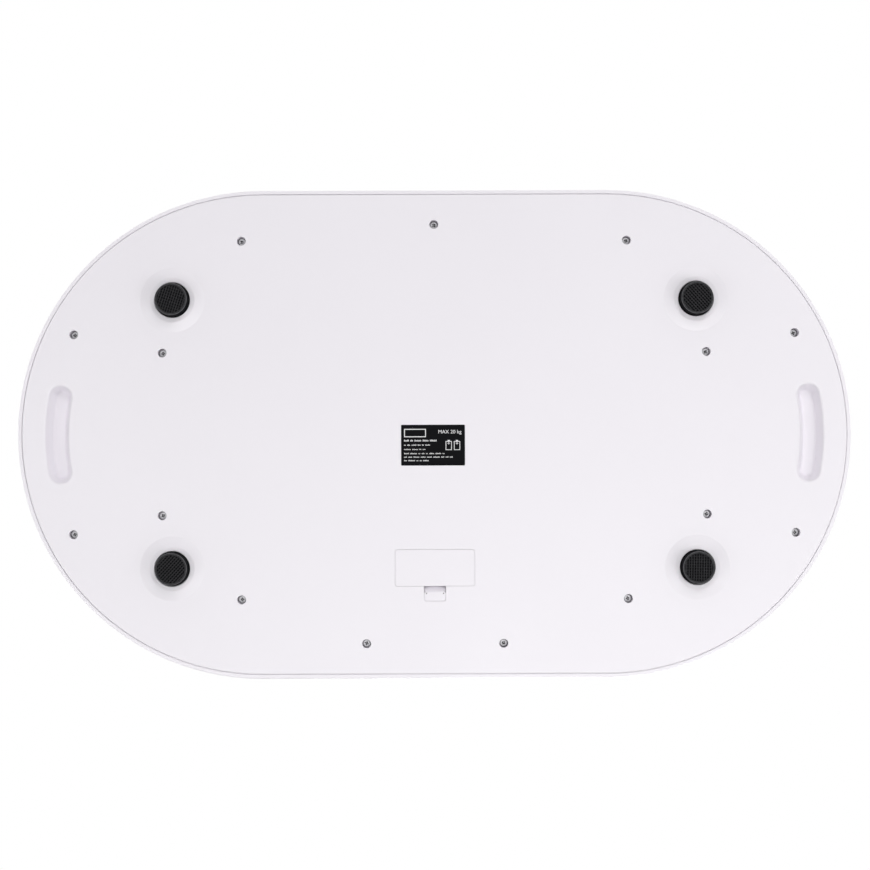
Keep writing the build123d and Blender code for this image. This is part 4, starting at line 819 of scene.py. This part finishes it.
def screw_profile():
    """Outline of the screw: domed head below, shank with a pointed end above."""
    dome = []
    for i in range(DOME_STEPS + 1):
        turn = math.radians(90 * i / DOME_STEPS)
        r = SCREW_HEAD_R - SCREW_EDGE * (1 - math.sin(turn))
        dome.append((r, SCREW_EDGE * (1 - math.cos(turn))))
    crown = [(0, 0.0), (SCREW_HEAD_R * CROWN_SHARE, 0.0)]
    end = SCREW_HEAD_H + SCREW_LENGTH
    shank = [(SCREW_HEAD_R, SCREW_HEAD_H), (SCREW_SHANK_R, SCREW_HEAD_H),
             (SCREW_SHANK_R, end - SCREW_POINT), (0, end)]
    return crown + dome + shank


def cut(body, cutter, name):
    """Cut one mesh out of another and return the result."""
    carriers = []
    for mesh in (body, cutter):
        obj = bpy.data.objects.new(mesh.name, mesh)
        bpy.context.collection.objects.link(obj)
        carriers.append(obj)
    modifier = carriers[0].modifiers.new("cut", "BOOLEAN")
    modifier.operation, modifier.object, modifier.solver = "DIFFERENCE", carriers[1], "EXACT"
    depsgraph = bpy.context.evaluated_depsgraph_get()
    mesh = bpy.data.meshes.new_from_object(carriers[0].evaluated_get(depsgraph), depsgraph=depsgraph)
    for obj in carriers:
        bpy.data.objects.remove(obj)
    mesh.name = name
    return mesh


def cross_cutter():
    """A tapered bar with the outline of a cross, which leaves the recess."""
    bm = bmesh.new()
    rings = []
    for z, share in ((-RECESS_START, RECESS_MOUTH), (RECESS_DEPTH, RECESS_END)):
        far = share * RECESS_LENGTH / 2
        near = (1 - RECESS_SLIM + RECESS_SLIM * share) * RECESS_WIDTH / 2
        arm = [(near, -far), (near, -near), (far, -near)]
        outline = []
        for turn in range(4):
            outline += arm
            arm = [(-y, x) for x, y in arm]
        rings.append([(x, y, z) for x, y in outline])
    prism(bm, *rings)
    return mesh_from(bm, "cross_cutter")


def recess_point():
    """Blunt cone in the middle of the recess, left by the centre of the punch."""
    profile = [(0, RECESS_POINT_TOP), (RECESS_POINT_R * POINT_SHARE, RECESS_POINT_TOP),
               (RECESS_POINT_R, RECESS_DEPTH), (0, RECESS_DEPTH + POINT_ROOT)]
    return mesh_from(lathe(profile, POINT_STEPS), "recess_point")


turned = mesh_from(lathe(screw_profile(), LATHE_STEPS), "screw_blank")
blank = cut(turned, cross_cutter(), "screw_blank_cut")
screw_mesh = gather([blank, recess_point()], "screw")
print("one screw:", len(blank.polygons), "faces, with its point", len(screw_mesh.polygons))

# %% Tree that sets the screws
SCREW_SEED = 7
WELD = mm(0.001)                    # corners closer than this are one


def screw_tree():
    """A copy of one screw on each point, turned at random about its axis."""
    tree, inside, out = new_tree("housing_screws", [
        ("Screw", "NodeSocketObject", None), ("Seed", "NodeSocketInt", SCREW_SEED),
        ("Steel", "NodeSocketMaterial", None)])
    values = inside.outputs
    form = add_node(tree, "GeometryNodeObjectInfo", {"Object": values["Screw"]}, output="Geometry")
    angle = tree.nodes.new("FunctionNodeRandomValue")
    angle.data_type = "FLOAT"
    numbers = [socket for socket in angle.inputs if socket.type == "VALUE"]
    numbers[0].default_value, numbers[1].default_value = 0.0, 2 * math.pi
    join(tree, values["Seed"], angle.inputs["Seed"])
    amount = next(socket for socket in angle.outputs if socket.type == "VALUE")
    turn = add_node(tree, "ShaderNodeCombineXYZ", {"Z": amount})
    copies = add_node(tree, "GeometryNodeInstanceOnPoints", {
        "Points": values["Geometry"], "Instance": form, "Rotation": turn})
    real = add_node(tree, "GeometryNodeRealizeInstances", {"Geometry": copies})
    done = add_node(tree, "GeometryNodeSetMaterial", {"Geometry": real, "Material": values["Steel"]})
    join(tree, done, out.inputs[0])
    return tree


def well_centres(node):
    """Middle of each separate solid of a node, found by joining touching triangles."""
    bm = bmesh.new()
    bm.from_mesh(frame["nodes"][node].data)
    bmesh.ops.remove_doubles(bm, verts=bm.verts, dist=WELD)
    waiting, places = set(bm.verts), []
    while waiting:
        edge = [waiting.pop()]
        island = list(edge)
        while edge:
            spot = edge.pop()
            for link in spot.link_edges:
                other = link.other_vert(spot)
                if other in waiting:
                    waiting.remove(other)
                    edge.append(other)
                    island.append(other)
        xs, ys, zs = zip(*(vert.co for vert in island))
        places.append(((min(xs) + max(xs)) / 2, (min(ys) + max(ys)) / 2, min(zs)))
    bm.free()
    return sorted(tuple(round(c, 5) for c in centre) for centre in places)


wells = well_centres("housing_screws")
template = bpy.data.objects.new("screw_template", screw_mesh)
bpy.context.collection.objects.link(template)
steel = finishes["screw_steel"]
screws_mesh = grow("screws", screw_tree(), {"Screw": template, "Steel": steel}, wells)
bpy.data.objects.remove(template)
screws = piece("screws", screws_mesh, "screw_steel")
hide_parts("housing_screws")
print(len(wells), "screws,", len(screws_mesh.polygons), "faces")

# %% [markdown]
# ## Finger scoop of the latch
#
# Between the door and its finger plate the latch dips, so that a finger tip finds it. The
# dip is a thin sloping web that belongs to the latch and moves with it. Beside the raised
# pad, two small black discs stand for the pin holes of the mould: painted shade.

# %% Scoop and the painted shade of two pin holes
SCOOP_REACH, SCOOP_RISE, SCOOP_T = mm(3.25), mm(3.1), mm(0.8)
SCOOP_LOW = mm(0.8)                 # where it starts, above the lowest point of the latch
SCOOP_SIDE_GAP = mm(0.05)
MARK_R, MARK_T, MARK_STEPS = mm(0.42), mm(0.03), 12
MARK_X, MARK_IN = mm(5.40), mm(1.15)    # from the middle line and from the rear of the latch
PLATE_SUNK = mm(0.45)               # height of the plate above the pad, which is lowest


def scoop():
    """Sloping web from the rear edge of the finger plate to just short of the door."""
    low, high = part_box("battery_door_latch")
    x0, x1 = low[0] + SCOOP_SIDE_GAP, high[0] - SCOOP_SIDE_GAP
    y0, z0 = high[1], low[2] + SCOOP_LOW
    y1, z1 = y0 + SCOOP_REACH, z0 + SCOOP_RISE
    side = [(y0, z0), (y1, z1), (y1, z1 + SCOOP_T), (y0, z0 + SCOOP_T)]
    bm = bmesh.new()
    prism(bm, *([(x, y, z) for y, z in side] for x in (x0, x1)))
    return mesh_from(bm, "latch_scoop")


def pin_hole_shade():
    """Two small black discs on the plate, beside the rear corners of its pad: painted shade of pin
    holes.
    """
    low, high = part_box("battery_door_latch")
    middle, y, z = (low[0] + high[0]) / 2, high[1] - MARK_IN, low[2] + PLATE_SUNK
    angles = [2 * math.pi * i / MARK_STEPS for i in range(MARK_STEPS)]
    bm = bmesh.new()
    for x in (middle - MARK_X, middle + MARK_X):
        circle = [(x + MARK_R * math.cos(a), y + MARK_R * math.sin(a)) for a in angles]
        plate(bm, circle, z - MARK_T, z)
    return mesh_from(bm, "latch_pin_marks")


piece("latch_scoop", scoop(), "shell_plastic", body="battery_door_latch")
# Black discs that paint the shade of two pin holes.
piece("latch_pin_marks", pin_hole_shade(), "black_plastic", body="battery_door_latch")

# %% [markdown]
# ## Label print
#
# The label is black foil with white print. It carries no maker, no model and no marks
# of approval here: the field for a name is empty, the rows of small type are only short
# bars, set out like words, and what can be read is what any scale of this kind needs to
# say, its capacity and its cells. The print is a very thin layer on the foil.

# %% Rows of type and two plain symbols
# The layout is in millimetres from the middle of the label, x to the right as it is read.
PRINT_T = mm(0.02)
ROW_SEED = 11
LETTER, LETTER_GAP = 0.42, 0.22        # width of a small letter and the gap after it
LONGEST_WORD, LOW_LETTER = 7, 0.75     # letters; height of a low letter, as a share
LEFT_EDGE = -18.8                      # where all rows start
NAME_FIELD = (LEFT_EDGE, -4.6, 5.2, 10.6, 0.55)    # left, right, bottom, top, line width
TITLE = (1.0, 3.0, 1.15)               # right end, middle height and type height of a row
ROWS = [(right, y, 0.80) for y, right in (
    (0.1, -2.0), (-2.7, -3.6), (-5.4, 8.6), (-7.7, 12.4), (-10.0, -4.0))]
CELL_SIGNS = (8.2, 13.6)               # left edges of two cells, side by side
CELL_WIDTH, CELL_BOTTOM, CELL_TOP, CELL_LINE = 4.0, -3.2, 2.6, 0.4
CELL_MARKS = ((1.3, 2.7, 2.6, 3.3), (1.2, 2.8, 1.0, 1.4), (1.8, 2.2, 0.4, 2.0))    # nub, plus
CAPACITY, CAPACITY_SIZE, CAPACITY_X, CAPACITY_Y = "MAX 20 kg", 3.3, 10.9, 8.6


def label_print():
    """White print on the foil, seen from below."""
    low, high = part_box("rating_label")
    middle_x, middle_y = (low[0] + high[0]) / 2, (low[1] + high[1]) / 2
    z1 = low[2]
    z0 = z1 - PRINT_T
    bm = bmesh.new()
    dice = random.Random(ROW_SEED)

    def strip(left, right, bottom, top):
        bar(bm, middle_x - mm(right), middle_x - mm(left), middle_y + mm(bottom), middle_y + mm(top),
            z0, z1)

    def words(right, y, height):
        x = LEFT_EDGE
        while x < right - 1.0:
            for _ in range(dice.randint(2, LONGEST_WORD)):
                tall = height * dice.choice((LOW_LETTER, LOW_LETTER, 1.0))
                strip(x, x + LETTER, y - height / 2, y - height / 2 + tall)
                x += LETTER + LETTER_GAP
            x += 2 * LETTER

    def frame_line(left, right, bottom, top, width):
        strip(left, right, bottom, bottom + width)
        strip(left, right, top - width, top)
        strip(left, left + width, bottom + width, top - width)
        strip(right - width, right, bottom + width, top - width)

    frame_line(*NAME_FIELD)
    for row in (TITLE, *ROWS):
        words(*row)
    for left in CELL_SIGNS:
        frame_line(left, left + CELL_WIDTH, CELL_BOTTOM, CELL_TOP, CELL_LINE)
        for x0, x1, y0, y1 in CELL_MARKS:
            strip(left + x0, left + x1, y0, y1)
    spot = (middle_x - mm(CAPACITY_X), middle_y + mm(CAPACITY_Y), z1 - PRINT_T / 2)
    capacity = lettering(CAPACITY, mm(CAPACITY_SIZE), spot, PRINT_T, down=True)
    return gather([mesh_from(bm, "label_rows"), capacity], "label_print")


print_mesh = label_print()
piece("label_print", print_mesh, "label_white")
print("label print:", len(print_mesh.polygons), "faces")

# %% [markdown]
# ## Display
#
# A liquid crystal display shows dark segments on a grey-green ground. Each segment is a
# six-cornered plate, and the digits lean a little. The display shows an empty scale, so
# it reads zero kilograms with two decimals.

# %% Digits on the glass
DIGIT_HEIGHT, DIGIT_WIDTH, SEGMENT_WIDTH = mm(10.0), mm(5.6), mm(1.15)
DIGIT_LEAN = math.tan(math.radians(7))
SEGMENT_GAP = 0.12                  # left free at each end, as a share of the width
DIGIT_PLACES = (-11.5, -1.0, 8.0)   # middles of the digits, millimetres from the middle
POINT_LEFT, POINT_HALF = mm(6.7), mm(0.65)
UNIT_SIZE, UNIT_RIGHT, UNIT_DOWN = mm(5.0), mm(17.5), mm(2.6)
INK_T = mm(0.02)


def segment(bm, start, end, origin, z0, z1):
    """One six-cornered segment between two points, leaned and moved to its digit."""
    width = SEGMENT_WIDTH
    along = (Vector(end) - Vector(start)).normalized()
    side = Vector((-along.y, along.x)) * width / 2
    a = Vector(start) + along * width * SEGMENT_GAP
    b = Vector(end) - along * width * SEGMENT_GAP
    corners = [a, a + along * width / 2 + side, b - along * width / 2 + side, b,
               b - along * width / 2 - side, a + along * width / 2 - side]
    outline = [(origin[0] + c.x + c.y * DIGIT_LEAN, origin[1] + c.y) for c in corners]
    plate(bm, outline[::-1], z0, z1)


def zero(bm, origin, z0, z1):
    """A zero, which lights all of the seven segments but the middle one."""
    w, h = DIGIT_WIDTH / 2, DIGIT_HEIGHT / 2
    for start, end in (((-w, h), (w, h)), ((w, 0), (w, h)), ((w, -h), (w, 0)),
                       ((-w, -h), (w, -h)), ((-w, -h), (-w, 0)), ((-w, 0), (-w, h))):
        segment(bm, start, end, origin, z0, z1)


def reading():
    """The reading of an empty scale and its unit."""
    low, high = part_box("lcd_glass")
    x = (low[0] + high[0]) / 2
    y = (low[1] + high[1]) / 2 + VIEW_SHIFT
    z0, z1 = high[2], high[2] + INK_T
    bm = bmesh.new()
    for offset in DIGIT_PLACES:
        zero(bm, (x + mm(offset), y), z0, z1)
    dot_x, dot_y = x - POINT_LEFT, y - DIGIT_HEIGHT / 2
    bar(bm, dot_x - POINT_HALF, dot_x + POINT_HALF, dot_y - POINT_HALF, dot_y + POINT_HALF, z0, z1)
    unit = lettering("kg", UNIT_SIZE, (x + UNIT_RIGHT, y - UNIT_DOWN, (z0 + z1) / 2), z1 - z0)
    return gather([mesh_from(bm, "digits"), unit], "display_reading")


reading_mesh = reading()
piece("display_reading", reading_mesh, "lcd_ink")
print("reading:", len(reading_mesh.polygons), "faces")

# %% [markdown]
# ## Printing on the keys
#
# Each key has its job printed on its cap in dark grey. The power key has the usual
# sign, an open ring with a bar. The print rides on the key, so it goes down with it.

# %% Key print
KEY_PRINT_T = mm(0.02)
KEY_WORDS = {"unit": "UNIT", "hold": "HOLD", "tare": "TARE"}
KEY_WORD_SIZE = mm(3.0)
POWER_RING_R, POWER_LINE = mm(2.1), mm(0.42)
POWER_START, POWER_SWEEP, POWER_STEPS = 125, 290, 24    # degrees; plates in the ring
POWER_BAR = (mm(0.3), mm(2.7))      # from the middle of the key


def power_sign(centre, z0, z1):
    """Open ring with a bar through its gap."""
    bm = bmesh.new()
    start, sweep, half = math.radians(POWER_START), math.radians(POWER_SWEEP), POWER_LINE / 2
    for i in range(POWER_STEPS):
        angles = (start + sweep * i / POWER_STEPS, start + sweep * (i + 1) / POWER_STEPS)
        ring = [(POWER_RING_R - half, a) for a in angles]
        ring += [(POWER_RING_R + half, a) for a in angles[::-1]]
        corners = [(centre[0] + r * math.cos(a), centre[1] + r * math.sin(a)) for r, a in ring]
        plate(bm, corners[::-1], z0, z1)
    near, far = POWER_BAR
    bar(bm, centre[0] - half, centre[0] + half, centre[1] + near, centre[1] + far, z0, z1)
    return mesh_from(bm, "power_sign")


for key in ("unit", "hold", "tare", "power"):
    low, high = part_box(f"key_{key}")
    middle = ((low[0] + high[0]) / 2, (low[1] + high[1]) / 2)
    top = high[2]
    if key == "power":
        sign = power_sign(middle, top, top + KEY_PRINT_T)
    else:
        spot = (*middle, top + KEY_PRINT_T / 2)
        sign = lettering(KEY_WORDS[key], KEY_WORD_SIZE, spot, KEY_PRINT_T)
    piece(f"key_print_{key}", sign, "legend_ink", body=f"key_{key}")
    print(key, "print:", len(sign.polygons), "faces")
